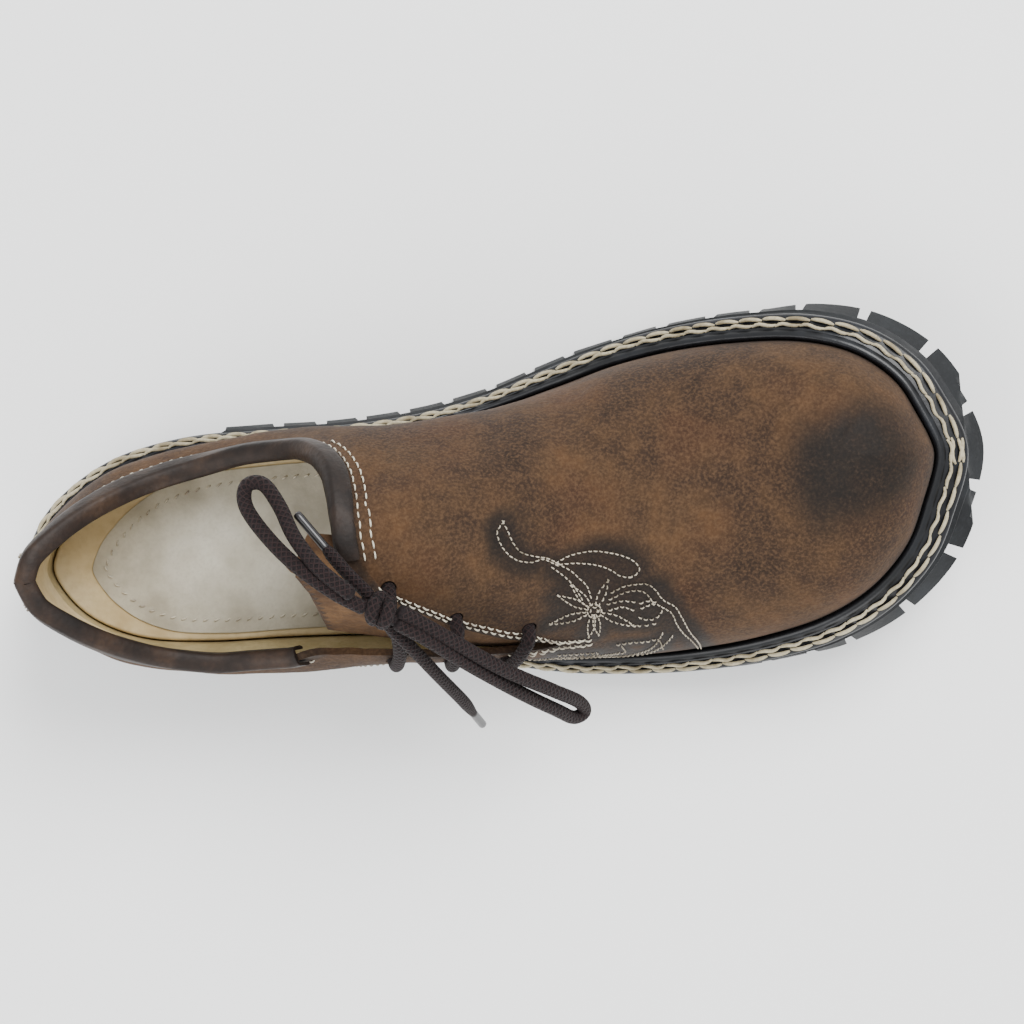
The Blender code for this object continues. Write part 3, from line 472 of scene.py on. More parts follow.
OUTER_COLLAR = [  # round, along, across, height, closing
    (0.000, -0.155, 0.036, 1.000, 90), (0.035, -0.154, -0.020, 0.990, 80),
    (0.075, -0.155, -0.090, 0.950, 70), (0.125, -0.163, -0.180, 0.850, 60),
    (0.180, -0.185, -0.262, 0.740, 52), (0.260, -0.228, -0.305, 0.650, 46),
    (0.370, -0.285, -0.305, 0.612, 44), (0.480, -0.335, -0.280, 0.635, 42),
    (0.620, -0.390, -0.215, 0.725, 42), (0.760, -0.430, -0.140, 0.800, 42),
    (0.880, -0.457, -0.070, 0.838, 42), (1.000, -0.467, 0.000, 0.850, 42)]
SWELL = [  # along, inner, outer
    (-0.500, 0.0010, 0.0010), (-0.440, 0.0014, 0.0018), (-0.380, 0.0026, 0.0036),
    (-0.260, 0.0042, 0.0055), (-0.160, 0.0058, 0.0058), (-0.060, 0.0052, 0.0045),
    (0.020, 0.0030, 0.0022), (0.120, 0.0010, 0.0008), (0.476, 0.0, 0.0)]
SLIT = [  # round, quarter_edge, vamp_edge
    (0.760, 0.405, 0.425), (0.785, 0.393, 0.445), (0.840, 0.380, 0.490), (0.890, 0.378, 0.535),
    (0.930, 0.380, 0.590), (0.974, 0.388, 0.665), (1.004, 0.410, 0.760), (1.016, 0.425, 0.880),
    (1.024, 0.435, 1.080), (1.045, 0.485, 1.110), (1.070, 0.555, 1.120), (1.095, 0.660, 1.120),
    (1.135, 0.890, 1.120), (1.156, 1.060, 1.120)]
VAMP_CORNER, QUARTER_CORNER = 0.035, 0.235
VAMP_HOLES = [(0.990, 0.800), (0.914, 0.620), (0.800, 0.545)]
QUARTER_HOLES = [(1.035, 0.395), (0.950, 0.335), (0.850, 0.310)]
BAR_ARCH = (0.0026, 0.0010, 0.0010)
TONGUE_ROWS = [  # round, low, high, sunk, carried
    (0.700, 0.34, 0.66, 0.0006, 0.000), (0.780, 0.33, 0.72, 0.0008, 0.000),
    (0.860, 0.32, 0.80, 0.0012, 0.000), (0.930, 0.32, 0.90, 0.0022, 0.000),
    (0.985, 0.33, 1.00, 0.0030, 0.000), (0.985, 0.34, 1.00, 0.0032, 0.010),
    (0.985, 0.36, 0.93, 0.0032, 0.018), (0.985, 0.38, 0.80, 0.0032, 0.027)]
TONGUE_TAPER = 0.20

# %% Reading a table smoothly
curves = {}


def through(rows, column, x):
    """Smooth curve without overshoot through one column of a table, read at x."""
    key = (id(rows), column)
    if key not in curves:
        xs, ys = [row[0] for row in rows], [row[column] for row in rows]
        steps = [b - a for a, b in zip(xs, xs[1:])]
        rates = [(b - a) / s for a, b, s in zip(ys, ys[1:], steps)]
        slopes = [rates[0]] + [0.0] * (len(xs) - 2) + [rates[-1]]
        for i in range(1, len(xs) - 1):
            if rates[i - 1] * rates[i] > 0:
                before, after = 2 * steps[i] + steps[i - 1], steps[i] + 2 * steps[i - 1]
                slopes[i] = (before + after) / (before / rates[i - 1] + after / rates[i])
        curves[key] = (xs, ys, steps, slopes)
    xs, ys, steps, slopes = curves[key]
    x = clamp(x, xs[0], xs[-1])
    i = min(bisect.bisect_right(xs, x) - 1, len(xs) - 2)
    t = (x - xs[i]) / steps[i]
    rise = (t**3 - 2 * t**2 + t) * slopes[i] + (t**3 - t**2) * slopes[i + 1]
    mix = 3 * t**2 - 2 * t**3
    return (1 - mix) * ys[i] + mix * ys[i + 1] + steps[i] * rise


# %% The welt's outline
def trace_welt():
    """Fine closed outline of the welt, split into an inner and an outer side from toe to heel."""
    toe = (WELT_TIP, TOE_TIP_SHARE * BALL_WIDTH, 0)
    heel = (HEEL_TIP, HEEL_TIP_SHARE * BALL_WIDTH, 0)
    inner = [(along * LENGTH, half * BALL_WIDTH, 0) for along, half, _ in WELT_OUTLINE]
    outer = [(along * LENGTH, -half * BALL_WIDTH, 0) for along, _, half in WELT_OUTLINE]
    ring = smooth_path([toe] + inner + [heel] + outer[::-1], 0.0010, closed=True)
    split = min(range(len(ring)), key=lambda i: ring[i].x)
    front = max(range(len(ring)), key=lambda i: ring[i].x)
    if front > split:
        front -= len(ring)
    inner_side = [ring[i] for i in range(front, split + 1)]
    outer_side = [ring[i % len(ring)] for i in range(front + len(ring), split - 1, -1)]
    return {INNER: np.array(inner_side), OUTER: np.array(outer_side)}


SIDES = trace_welt()
RUN = {side: np.concatenate([[0], np.cumsum(np.linalg.norm(np.diff(SIDES[side], axis=0), axis=1))])
       for side in SIDES}
INNER_ARC = RUN[INNER] / RUN[INNER][-1]
welt_places = {}


def station_at(x):
    """Share of the way round the inner side at which the outline reaches x."""
    return float(np.interp(-x, -SIDES[INNER][:, 0], INNER_ARC))


def welt_point(side, round_share):
    """Point on the welt's edge and its outward direction, from above."""
    key = (side, round(round_share, 7))
    if key in welt_places:
        return welt_places[key]
    x = float(np.interp(round_share, INNER_ARC, SIDES[INNER][:, 0]))
    line = SIDES[side]
    index = float(np.interp(-x, -line[:, 0], np.arange(len(line))))
    low = int(min(max(index, 0), len(line) - 1.001))
    here = line[low] + (line[low + 1] - line[low]) * (index - low)
    reach = 4
    back, ahead = line[max(low - reach, 0)], line[min(low + 1 + reach, len(line) - 1)]
    if low < reach or low + 1 + reach > len(line) - 1:
        other = SIDES[-side]
        if low < reach:
            back = other[reach - low]
        else:
            ahead = other[len(other) - 1 - (low + 1 + reach - (len(line) - 1))]
    run = ahead - back
    out = Vector((run[1], -run[0], 0)).normalized() * side
    welt_places[key] = (Vector((x, float(here[1]), 0)), out)
    return welt_places[key]


def welt_height(x):
    """Height of the welt's top over the floor."""
    return through(WELT_PROFILE, 1, x / LENGTH)


def tilt(x):
    """Slope angle of the welt at x."""
    return math.atan2(welt_height(x + 0.001) - welt_height(x - 0.001), 0.002)


def bend(point, depth):
    """Put a flat point on the welt's curved plane, at a depth square to it."""
    angle = tilt(point.x)
    return Vector((point.x + depth * math.sin(angle), point.y,
                   welt_height(point.x) - depth * math.cos(angle)))


def feather(side, round_share):
    """Line where the upper meets the welt, in the flat."""
    point, out = welt_point(side, round_share)
    return point - out * through(WELT_SHOW, 1, point.x / LENGTH)


THROAT = station_at(THROAT_ALONG)


# %% The last's surface
def top_of_column(side, round_share):
    """Where a column ends: its point, its slope there, how far it closes over, its squareness."""
    base_along = welt_point(side, round_share)[0].x / LENGTH
    squareness = through(CREST, 4, base_along)
    if round_share <= THROAT:
        def crest(along):
            return Vector((through(CREST, 1, along) * LENGTH, through(CREST, 2, along) * BALL_WIDTH,
                           through(CREST, 3, along) * INSTEP_HEIGHT))
        run = crest(base_along + 0.004) - crest(base_along - 0.004)
        return crest(base_along), run.z / run.x, math.pi / 2, squareness
    rows = INNER_COLLAR if side == INNER else OUTER_COLLAR
    way = (round_share - THROAT) / (1 - THROAT)
    point = Vector((through(rows, 1, way) * LENGTH, through(rows, 2, way) * BALL_WIDTH,
                    through(rows, 3, way) * INSTEP_HEIGHT))
    return point, -0.28 * max(0.0, 1 - way / 0.15), math.radians(through(rows, 4, way)), squareness


def surface(side, round_share, up):
    """The last's outer surface: up is 0 at the feather and 1 at the crest or the collar."""
    flat = feather(side, round_share)
    base = bend(flat, WELT_THICK - GAP)
    angle = tilt(flat.x)
    normal = Vector((-math.sin(angle), 0, math.cos(angle)))
    top, slope, closing, squareness = top_of_column(side, round_share)
    rise = top - base
    climb = (rise.z - slope * rise.x) / (normal.z - slope * normal.x)
    inward = rise - normal * climb
    power = 2 / squareness
    theta = closing * up
    lean = (1 - math.cos(theta) ** power) / (1 - max(math.cos(closing), 0.0) ** power)
    lift = (math.sin(theta) / math.sin(closing)) ** power
    column = 1 if side == INNER else 2
    upright = (WELT_THICK + BEAD_HEIGHT) / climb
    swelling = max(0.0, (lift - upright) / (1 - upright))
    swell = through(SWELL, column, flat.x / LENGTH) * math.sin(math.pi * swelling) ** 2
    return base + inward * lean + normal * climb * lift + welt_point(side, round_share)[1] * swell


def surface_normal(side, round_share, up):
    """Direction out of the leather."""
    step = 0.004
    up = min(up, 1.0)
    low, high = max(up - step, 0.0), min(up + step, 1.0)
    near, far = max(round_share - step, 0.0), min(round_share + step, 1.0)
    climb = surface(side, round_share, high) - surface(side, round_share, low)
    run = surface(side, far, up) - surface(side, near, up)
    return run.cross(climb).normalized() * side


def spot(side, round_share, up):
    """A point of the outer surface and the direction out of the leather there."""
    return surface(side, round_share, up), surface_normal(side, round_share, up)


FINE = 190
STATIONS = [i / FINE for i in range(FINE + 1)]
STATIONS[min(range(FINE), key=lambda i: abs(STATIONS[i] - THROAT))] = THROAT
print("throat at share", round(THROAT, 3), "stations", len(STATIONS))

# %% [markdown]
# ## Waxed suede for the upper
#
# The upper is cut from cowhide with the fleshy side out, brushed to a short nap, rubbed with dark
# wax and buffed. The wax gathers in clouds: some are about 30 mm wide and some 6 mm, and the nap
# is under half a millimetre. Where wax was rubbed on hard, as on the toe cap, round the embroidery
# and along the seams, the leather is nearly black and a little smoother. Those places are painted
# as an attribute called wax on the mesh itself, so they follow the shoe, and noise breaks up their
# edges. The nap is drawn a little coarser than life, so that it shows.

# %% Waxed suede finish
def make_suede_finish():
    finish, tree, shader = new_finish("waxed_suede", {
        "Sheen Weight": 0.03, "Sheen Roughness": 0.45, "Specular IOR Level": 0.18})
    clouds = patch_noise(tree, 0.030, 4.0, 0.6)
    spots = patch_noise(tree, 0.0065, 4.0, 0.62)
    nap = patch_noise(tree, 0.00055, 3.0, 0.6)
    grain = patch_noise(tree, 0.0017, 3.0, 0.55)
    mottle = sums(tree, "ADD", sums(tree, "MULTIPLY", clouds, 0.55), sums(tree, "MULTIPLY", spots, 0.45))
    colour = ramp(tree, mottle, [(0.33, "#1e150f"), (0.43, "#2d2017"), (0.52, "#3c2b1c"),
                                 (0.60, "#47321f"), (0.70, "#513b25")])
    warm = patch_noise(tree, 0.018, 2.0, 0.5)
    for layer, low, high, most, over in ((warm, 0.48, 0.72, 0.35, "#482c1a"),
                                         (grain, 0.45, 0.75, 0.42, "#251910"),
                                         (nap, 0.42, 0.72, 0.50, "#5d4631")):
        colour = blend(tree, between(tree, layer, low, high, 0.0, most), colour, tone(over))
    wax = add(tree, "ShaderNodeAttribute", attribute_name="wax").outputs["Fac"]
    broken = sums(tree, "ADD", wax, sums(tree, "MULTIPLY", sums(tree, "SUBTRACT", mottle, 0.5), 1.3))
    cover = sums(tree, "MULTIPLY", between(tree, broken, 0.16, 0.92, 0.0, 0.93),
                 between(tree, wax, 0.0, 0.12))
    dark = ramp(tree, nap, [(0.35, "#0a0807"), (0.6, "#130f0c"), (0.75, "#241c16")])
    tree.links.new(blend(tree, cover, colour, dark), shader.inputs["Base Color"])
    tree.links.new(between(tree, cover, 0.0, 1.0, 0.86, 0.66), shader.inputs["Roughness"])
    relief(tree, shader, [(spots, 0.0006, 0.35), (grain, 0.0004, 0.5), (nap, 0.00022, 0.6)])
    return finish


suede_finish = make_suede_finish()


# %% [markdown]
# The lining is smooth vegetable-tanned leather, yellowish where it meets the quarters. It needs
# only a fine pore grain of about 0.8 mm and a few darker clouds where hands and feet have rubbed it.

# %% Lining and other leathers
def make_leather_finish(name, dark, mid, light, roughness, pore=0.0008, cloud=0.016, depth=0.0002,
                        coat=0.0, sheen=0.0):
    """Leather with clouds of colour and a pore grain of the given size."""
    finish, tree, shader = new_finish(name, {"Specular IOR Level": 0.22, "Coat Weight": coat,
                                             "Coat Roughness": 0.25, "Sheen Weight": sheen})
    clouds = patch_noise(tree, cloud, 4.0, 0.6)
    pores = patch_noise(tree, pore, 2.0, 0.5)
    colour = ramp(tree, clouds, [(0.34, dark), (0.5, mid), (0.68, light)])
    colour = blend(tree, between(tree, pores, 0.45, 0.8, 0.0, 0.4), colour, tone(dark))
    tree.links.new(colour, shader.inputs["Base Color"])
    tree.links.new(between(tree, clouds, 0.3, 0.7, roughness + 0.08, roughness - 0.08),
                   shader.inputs["Roughness"])
    relief(tree, shader, [(clouds, 0.0006, 0.25), (pores, depth, 0.6)])
    return finish


lining_finish = make_leather_finish("lining_calf", "#8d7d58", "#b0a078", "#c4b58f", 0.62)
heel_lining_finish = make_leather_finish("heel_lining_pigskin", "#b9a47c", "#d2bf97", "#dfd0ad", 0.58,
                                         pore=0.0011)
sock_finish = make_leather_finish("sock_goatskin", "#a9a291", "#bdb7a6", "#c9c4b5", 0.66, pore=0.0006,
                                  cloud=0.010, depth=0.00012)
binding_finish = make_leather_finish("binding_cowhide", "#140e0b", "#231913", "#37281d", 0.55,
                                     pore=0.0009, cloud=0.009, depth=0.0003)
tongue_finish = make_leather_finish("tongue_split_suede", "#352418", "#4d3723", "#62472c", 0.9,
                                    pore=0.0007, cloud=0.007, depth=0.0004, sheen=0.04)
welt_finish = make_leather_finish("welt_blackened_hide", "#07080a", "#0e0f12", "#191b1f", 0.38,
                                  pore=0.0012, cloud=0.012, depth=0.00015, coat=0.25)

# %% [markdown]
# ## Upper
#
# The upper is one skin over the last: closed over the toes, open round the ankle and underneath,
# slit on its outer side for the lace. A fine grid of columns gives the skin. A little noise along
# its normal, 25 mm wide and half a millimetre high, keeps it from looking moulded, and three
# soft troughs cross it where the foot bends. Solidify gives the wall with the lining on its inner side,
# and cutters in the shape of the slit and of the six lace holes are subtracted from it.

# %% Skin of the upper
ROWS = 46
HEEL_SEAM = 0.996    # share round beyond which the outward direction is read at the heel's seam
CREASES = [  # middle x, depth, half width
    (0.0170, 0.00035, 0.0040), (0.0330, 0.00028, 0.0036), (-0.0060, 0.00018, 0.0045)]


def skin_point(side, at, up):
    """The last's surface with the leather's own slight unevenness."""
    point = surface(side, at, up)
    ease = clamp((up - 0.10) / 0.15)
    if at > THROAT * 0.9:
        ease *= clamp((0.93 - up) / 0.15)
    if ease <= 0.0:
        return point
    rise = 0.00045 * noise.noise(point * 38) + 0.00016 * noise.noise(point * 105)
    for middle, depth, half in CREASES:
        way = (point.x - middle - 0.12 * point.y + 0.004 * noise.noise(point * 30)) / half
        rise -= depth * math.exp(-way * way) * clamp((point.z - 0.03) / 0.02)
    return point + surface_normal(side, min(at, HEEL_SEAM), up) * rise * ease


def make_skin(rows):
    """Columns from the welt to the crest or the collar, on both sides."""
    bm = bmesh.new()
    grid = {}
    for side in (INNER, OUTER):
        for i, at in enumerate(STATIONS):
            for k in range(rows + 1):
                shared = i in (0, len(STATIONS) - 1) or (k == rows and at <= THROAT + 1e-9)
                if side == OUTER and shared:
                    grid[side, i, k] = grid[INNER, i, k]
                else:
                    grid[side, i, k] = bm.verts.new(skin_point(side, at, k / rows))
    for side in (INNER, OUTER):
        for i in range(len(STATIONS) - 1):
            for k in range(rows):
                corners = [grid[side, i, k], grid[side, i + 1, k], grid[side, i + 1, k + 1],
                           grid[side, i, k + 1]]
                bm.faces.new(corners if side == INNER else corners[::-1])
    return bm


skin = make_skin(ROWS)
skin.normal_update()
skin_tree = BVHTree.FromBMesh(skin)
upper = finish_mesh("dressed_upper", skin, [suede_finish, lining_finish])
print("skin faces:", len(upper.data.polygons))


# %% Cutters for the slit and the holes
def ring_mesh(sections, closed_path=True):
    """Loft through sections of equal length; an open path gets end caps."""
    bm = bmesh.new()
    rings = [[bm.verts.new(p) for p in section] for section in sections]
    count = len(rings)
    for i in range(count if closed_path else count - 1):
        here, there = rings[i], rings[(i + 1) % count]
        for k in range(len(here)):
            after = (k + 1) % len(here)
            bm.faces.new((here[k], here[after], there[after], there[k]))
    if not closed_path:
        bm.faces.new(rings[0])
        bm.faces.new(rings[-1][::-1])
    return bm


SLIT_STEPS, SLIT_ACROSS = 90, 14


def slit_sections():
    """Sections of the slit's cutter, from over the leather to under it."""
    sections = []
    first, last = SLIT[0][0], SLIT[-1][0]
    for k in range(SLIT_STEPS + 1):
        share = first + (last - first) * k / SLIT_STEPS
        low, high = through(SLIT, 1, share), through(SLIT, 2, share)
        points = [spot(OUTER, THROAT * share, low + (high - low) * j / SLIT_ACROSS)
                  for j in range(SLIT_ACROSS + 1)]
        above = [point + out * 1.6 * UPPER_WALL for point, out in points]
        below = [point - out * 1.9 * UPPER_WALL for point, out in points]
        sections.append(above + below[::-1])
    return sections


def hole_cutter(name, place):
    """Round punch square to the leather."""
    point, out = spot(OUTER, THROAT * place[0], place[1])
    bm = bmesh.new()
    bmesh.ops.create_cone(bm, cap_ends=True, segments=22, radius1=LACE_HOLE / 2,
                          radius2=LACE_HOLE / 2, depth=4 * UPPER_WALL)
    bmesh.ops.transform(bm, matrix=out.to_track_quat("Z", "Y").to_matrix().to_4x4(), verts=bm.verts)
    bmesh.ops.translate(bm, vec=point - out * UPPER_WALL, verts=bm.verts)
    return finish_mesh(name, bm, [])


def plain_copy(piece, name):
    """The evaluated piece as a plain mesh; the original goes."""
    graph = bpy.context.evaluated_depsgraph_get()
    mesh = bpy.data.meshes.new_from_object(piece.evaluated_get(graph), preserve_all_data_layers=True,
                                           depsgraph=graph)
    mesh.name = name
    made = bpy.data.objects.new(name, mesh)
    bpy.context.collection.objects.link(made)
    bpy.data.objects.remove(piece, do_unlink=True)
    return made


def carve(piece, cutters, name, sharp, overlapping=False):
    """The piece less its cutters, as a plain mesh; the cutters go too."""
    for cutter in cutters:
        cut = piece.modifiers.new("cut", "BOOLEAN")
        cut.operation = "DIFFERENCE"
        cut.solver = "EXACT"
        cut.use_self = overlapping
        cut.object = cutter
    made = plain_copy(piece, name)
    for cutter in cutters:
        bpy.data.objects.remove(cutter, do_unlink=True)
    made.data.shade_smooth()
    made.data.set_sharp_from_angle(angle=math.radians(sharp))
    print(name, "faces:", len(made.data.polygons))
    return made


wall = upper.modifiers.new("wall", "SOLIDIFY")
wall.thickness = UPPER_WALL
wall.offset = -1
wall.use_even_offset = True
wall.material_offset = 1
punches = [finish_mesh("slit_cutter", ring_mesh(slit_sections(), closed_path=False), [])]
punches += [hole_cutter("hole_cutter_%d" % n, place) for n, place in enumerate(VAMP_HOLES + QUARTER_HOLES)]
upper = carve(upper, punches, "upper_leather", 38)

# %% [markdown]
# ## Embroidery and seams as drawn lines
#
# The embroidery is worked on the outer side: two edelweiss flowers, their leaves, a scroll and
# ribbons, all as lines of running stitch. Each line is a short row of points on the leather. The
# upper part is laid out as the camera sees it, in the photograph's pixels, and the lower part as
# seen from the side, in millimetres ahead of the middle and over the floor. A ray from each point
# finds the skin, so every stitch lies on the leather from wherever it is seen.

# %% Lines of the embroidery
def on_skin(start, way):
    """Where a ray meets the upper, and the direction out of the leather there."""
    point, out = skin_tree.ray_cast(start, way)[:2]
    if point is not None and out.dot(way) > 0:
        out = -out
    return point, out


def from_camera(place):
    """Skin under a pixel of the photograph."""
    return on_skin(CAMERA_PLACE, photo_ray(*place))


def from_side(place):
    """Skin at millimetres ahead and up, seen from the outer side."""
    return on_skin(Vector((place[0] / 1000, -0.2, place[1] / 1000)), Vector((0, 1, 0)))


def petal(centre, tip, width, start):
    """Two lines from near the flower's heart that meet at the petal's tip."""
    middle, end = Vector(centre), Vector(tip)
    run = end - middle
    across = Vector((-run.y, run.x)).normalized() * width
    sides = []
    for sign in (1, -1):
        sides.append([middle + run * start + across * sign * 0.45, middle + run * 0.5 + across * sign,
                      middle + run * 0.8 + across * sign * 0.6, end])
    return sides


def flower(centre, tips, width, heart):
    """Petals to the given tips and two rings round the heart."""
    lines = []
    for tip in tips:
        lines += petal(centre, tip, width, 0.22)
    for radius in (heart, heart * 0.55):
        lines.append([(centre[0] + radius * math.cos(math.tau * k / 9),
                       centre[1] + radius * math.sin(math.tau * k / 9)) for k in range(10)])
    return lines


CAMERA_LINES = [
    [(570, 711), (556, 705), (545, 708), (530, 706), (519, 698), (512, 687), (510, 677), (516, 668)],
    [(516, 668), (521, 678), (526, 689), (534, 698), (547, 702), (560, 704), (571, 709)],
    [(570, 708), (584, 701), (605, 697), (625, 699), (642, 704), (651, 711), (652, 718), (644, 723)],
    [(574, 710), (590, 709), (610, 711), (624, 716), (634, 722), (644, 723)],
    [(571, 710), (583, 716), (592, 724), (600, 732), (604, 743)],
    [(566, 714), (577, 722), (587, 732), (595, 745)],
    [(626, 738), (639, 732), (659, 730), (668, 735), (677, 746), (689, 753), (696, 764), (704, 778),
     (713, 789), (716, 797)],
    [(656, 754), (668, 750), (679, 755), (686, 760), (691, 771), (698, 780), (707, 788), (713, 795)],
    [(624, 745), (640, 738), (654, 737), (662, 742), (667, 750)],
    [(622, 750), (636, 747), (647, 748)], [(655, 749), (662, 747), (668, 748)],
    [(624, 756), (636, 753), (646, 756)], [(654, 764), (662, 766), (670, 764), (675, 758)],
    [(646, 771), (656, 772), (668, 770)],
    [(632, 791), (645, 789), (660, 788), (672, 786), (677, 795)]]
CAMERA_LINES += flower((607.5, 757), [(572, 742), (621, 727), (564, 770), (602, 783), (648, 772),
                                      (612, 781), (585, 732)], 3.6, 7.0)
SIDE_LINES = [
    [(-19.7, 39.7), (-25.0, 38.0), (-29.5, 39.1), (-33.3, 41.2), (-36.7, 43.5), (-39.0, 46.8),
     (-40.5, 48.4), (-43.5, 49.8), (-46.9, 49.6), (-51.5, 47.0)],
    [(-18.1, 41.7), (-23.4, 41.1), (-28.7, 43.1), (-33.3, 45.0), (-37.1, 47.5), (-39.0, 50.6),
     (-42.0, 52.3), (-45.8, 52.1), (-49.2, 49.1), (-51.5, 47.0)],
    [(-35.9, 41.6), (-36.3, 37.0), (-35.2, 31.8), (-33.3, 27.6), (-29.9, 24.2), (-26.2, 22.6),
     (-22.7, 23.1), (-23.8, 25.7), (-27.2, 29.1), (-30.3, 31.1), (-32.5, 34.8), (-34.0, 38.5),
     (-35.2, 41.9)],
    [(-21.2, 38.7), (-20.8, 30.0), (-20.0, 25.3), (-17.8, 22.2), (-13.6, 20.6), (-9.8, 20.4)],
    [(-18.1, 38.9), (-18.9, 32.5), (-17.8, 27.1), (-15.1, 23.3), (-11.3, 22.5), (-9.4, 24.4),
     (-9.8, 26.8), (-7.5, 29.0), (-4.9, 28.6), (-4.5, 25.8), (-6.8, 23.5)],
    [(-12.8, 25.8), (-11.7, 28.7), (-9.0, 31.4), (-5.3, 32.0), (-1.8, 29.6), (-1.1, 25.9),
     (-3.0, 22.5), (-6.0, 20.9)],
    [(11.6, 22.3), (11.0, 25.9), (12.5, 32.1), (16.0, 36.8)],
    [(16.3, 22.1), (16.3, 26.4), (19.0, 31.2), (23.5, 34.5), (28.1, 36.9), (33.0, 40.5), (32.2, 46.0)],
    [(15.6, 30.2), (19.7, 33.6), (25.0, 36.1), (28.8, 37.5), (31.1, 40.0)],
    [(3.8, 36.7), (9.1, 37.4), (16.0, 37.9), (22.0, 37.7), (25.0, 40.6), (22.0, 42.9), (17.5, 44.6),
     (12.9, 45.8)],
    [(3.8, 36.7), (6.9, 39.6), (12.9, 41.1), (19.7, 40.2)],
    [(19.5, 21.0), (22.8, 22.6), (28.1, 27.3), (34.9, 32.4), (40.2, 36.6), (44.0, 42.0), (47.5, 47.5)],
    [(15.0, 20.8), (19.0, 22.6), (22.8, 25.4), (28.8, 29.8), (33.4, 33.3), (37.9, 37.8), (41.5, 43.0),
     (44.5, 49.5)]]
SIDE_LINES += flower((-13.6, 40.3), [(-14.4, 28.4), (-4.1, 33.2), (-1.8, 45.8), (-12.1, 48.6),
                                     (-23.1, 45.7), (-23.8, 31.6), (-9.5, 29.0)], 1.5, 2.6)


def lay_lines():
    """Every line as points on the skin with the leather's outward direction at each."""
    laid = []
    for lines, finder, step in ((CAMERA_LINES, from_camera, 1.5), (SIDE_LINES, from_side, 0.5)):
        for line in lines:
            flat = smooth_path([(*p, 0) for p in line], step)
            found = [finder((p.x, p.y)) for p in flat]
            laid.append([hit for hit in found if hit[0] is not None])
    return [line for line in laid if len(line) > 2]


embroidery = lay_lines()
print("embroidery lines:", len(embroidery))

# %% [markdown]
# The wax was rubbed in by hand, so it is darkest beside the raised thread. Each point of the upper
# now gets its share of wax from how near it is to the embroidery, to the toe's dark cloud, to the
# binding, to the slit and to the welt.

# %% Wax painted on the upper
TOE_CLOUD = Vector((0.1050, 0.0075, 0.069)), 0.0262      # place, radius
SMUDGES = [  # place, radius, strength
    (Vector((0.005, 0.002, 0.084)), 0.011, 0.50), (Vector((0.016, -0.036, 0.055)), 0.011, 0.40),
    (Vector((0.052, -0.050, 0.034)), 0.016, 0.55), (Vector((0.010, -0.045, 0.028)), 0.016, 0.75),
    (Vector((-0.020, -0.043, 0.030)), 0.014, 0.35), (Vector((0.124, 0.004, 0.055)), 0.009, 0.25),
    (Vector((0.034, -0.012, 0.067)), 0.010, 0.55), (Vector((-0.136, 0.0, 0.045)), 0.020, 0.25),
    (Vector((0.020, 0.030, 0.060)), 0.012, 0.20), (Vector((-0.030, 0.030, 0.050)), 0.014, 0.18)]


def spread(points):
    """Tree that finds the nearest of the points."""
    tree = KDTree(len(points))
    for i, point in enumerate(points):
        tree.insert(point, i)
    tree.balance()
    return tree


def fade(distance, full, none):
    """1 nearer than full, 0 further than none, smooth between."""
    way = clamp((distance - full) / (none - full))
    return 1 - way * way * (3 - 2 * way)


def collar_share(way):
    """Share round of a share of the way from the throat to the heel."""
    return THROAT + (1 - THROAT) * way


def paint_wax(piece):
    """Write the share of wax on every point, and return its mean."""
    threads = [point for line in embroidery for point, _ in line]
    rims = [top_of_column(side, collar_share(k / 120))[0] for side in (INNER, OUTER) for k in range(121)]
    slits = [surface(OUTER, THROAT * share, through(SLIT, column, share))
             for share in (0.76 + 0.27 * k / 60 for k in range(61)) for column in (1, 2)]
    feet = spread([bend(feather(side, k / 200), -BEAD_HEIGHT) for side in (INNER, OUTER)
                   for k in range(201)])
    marks = [  # places, strength, full within, none beyond, share of the wobble
        (spread(threads), 0.86, 0.0015, 0.0085, 0.8), (spread(rims), 0.60, 0.0050, 0.0085, 0.3),
        (spread(slits), 0.75, 0.0006, 0.0036, 0.0)]
    cloud, cloud_radius = TOE_CLOUD
    values = []
    for vertex in piece.data.vertices:
        place = vertex.co
        wobble = 0.0035 * noise.noise(place * 60) + 0.0015 * noise.noise(place * 170)
        wax = 0.92 * fade((place - cloud).length + wobble * 1.2, 0.010, cloud_radius + 0.004)
        for tree, strength, full, none, share in marks:
            wax = max(wax, strength * fade(tree.find(place)[2] + wobble * share, full, none))
        low = 0.75 if place.y < 0 and -0.06 < place.x < 0.07 else 0.42
        wax = max(wax, low * fade(feet.find(place)[2] + wobble * 0.6, 0.0004, 0.0058))
        for middle, radius, strength in SMUDGES:
            wax = max(wax, strength * fade((place - middle).length + wobble, radius * 0.25, radius))
        values.append(wax)
    layer = piece.data.attributes.new("wax", "FLOAT", "POINT")
    layer.data.foreach_set("value", values)
    return sum(values) / len(values)


print("mean wax:", round(paint_wax(upper), 3))

# %% [markdown]
# ## Stitches by Geometry Nodes
#
# Thread repeats along a seam, so one small tree sews every row on this shoe. It takes lines of
# points, cuts each into steps of one stitch, and sets a bent, tapered thread at each, turned along
# the seam and standing off the leather by the direction stored on the line. Named inputs give the
# pitch, length, thickness, rise and sideways wave, and a fixed seed makes hand-sewn rows uneven.

# %% Tree of a sewn row
STITCH_SIZES = ("Pitch", "Length", "Thickness", "Rise", "Wave", "Slant", "Unevenness")


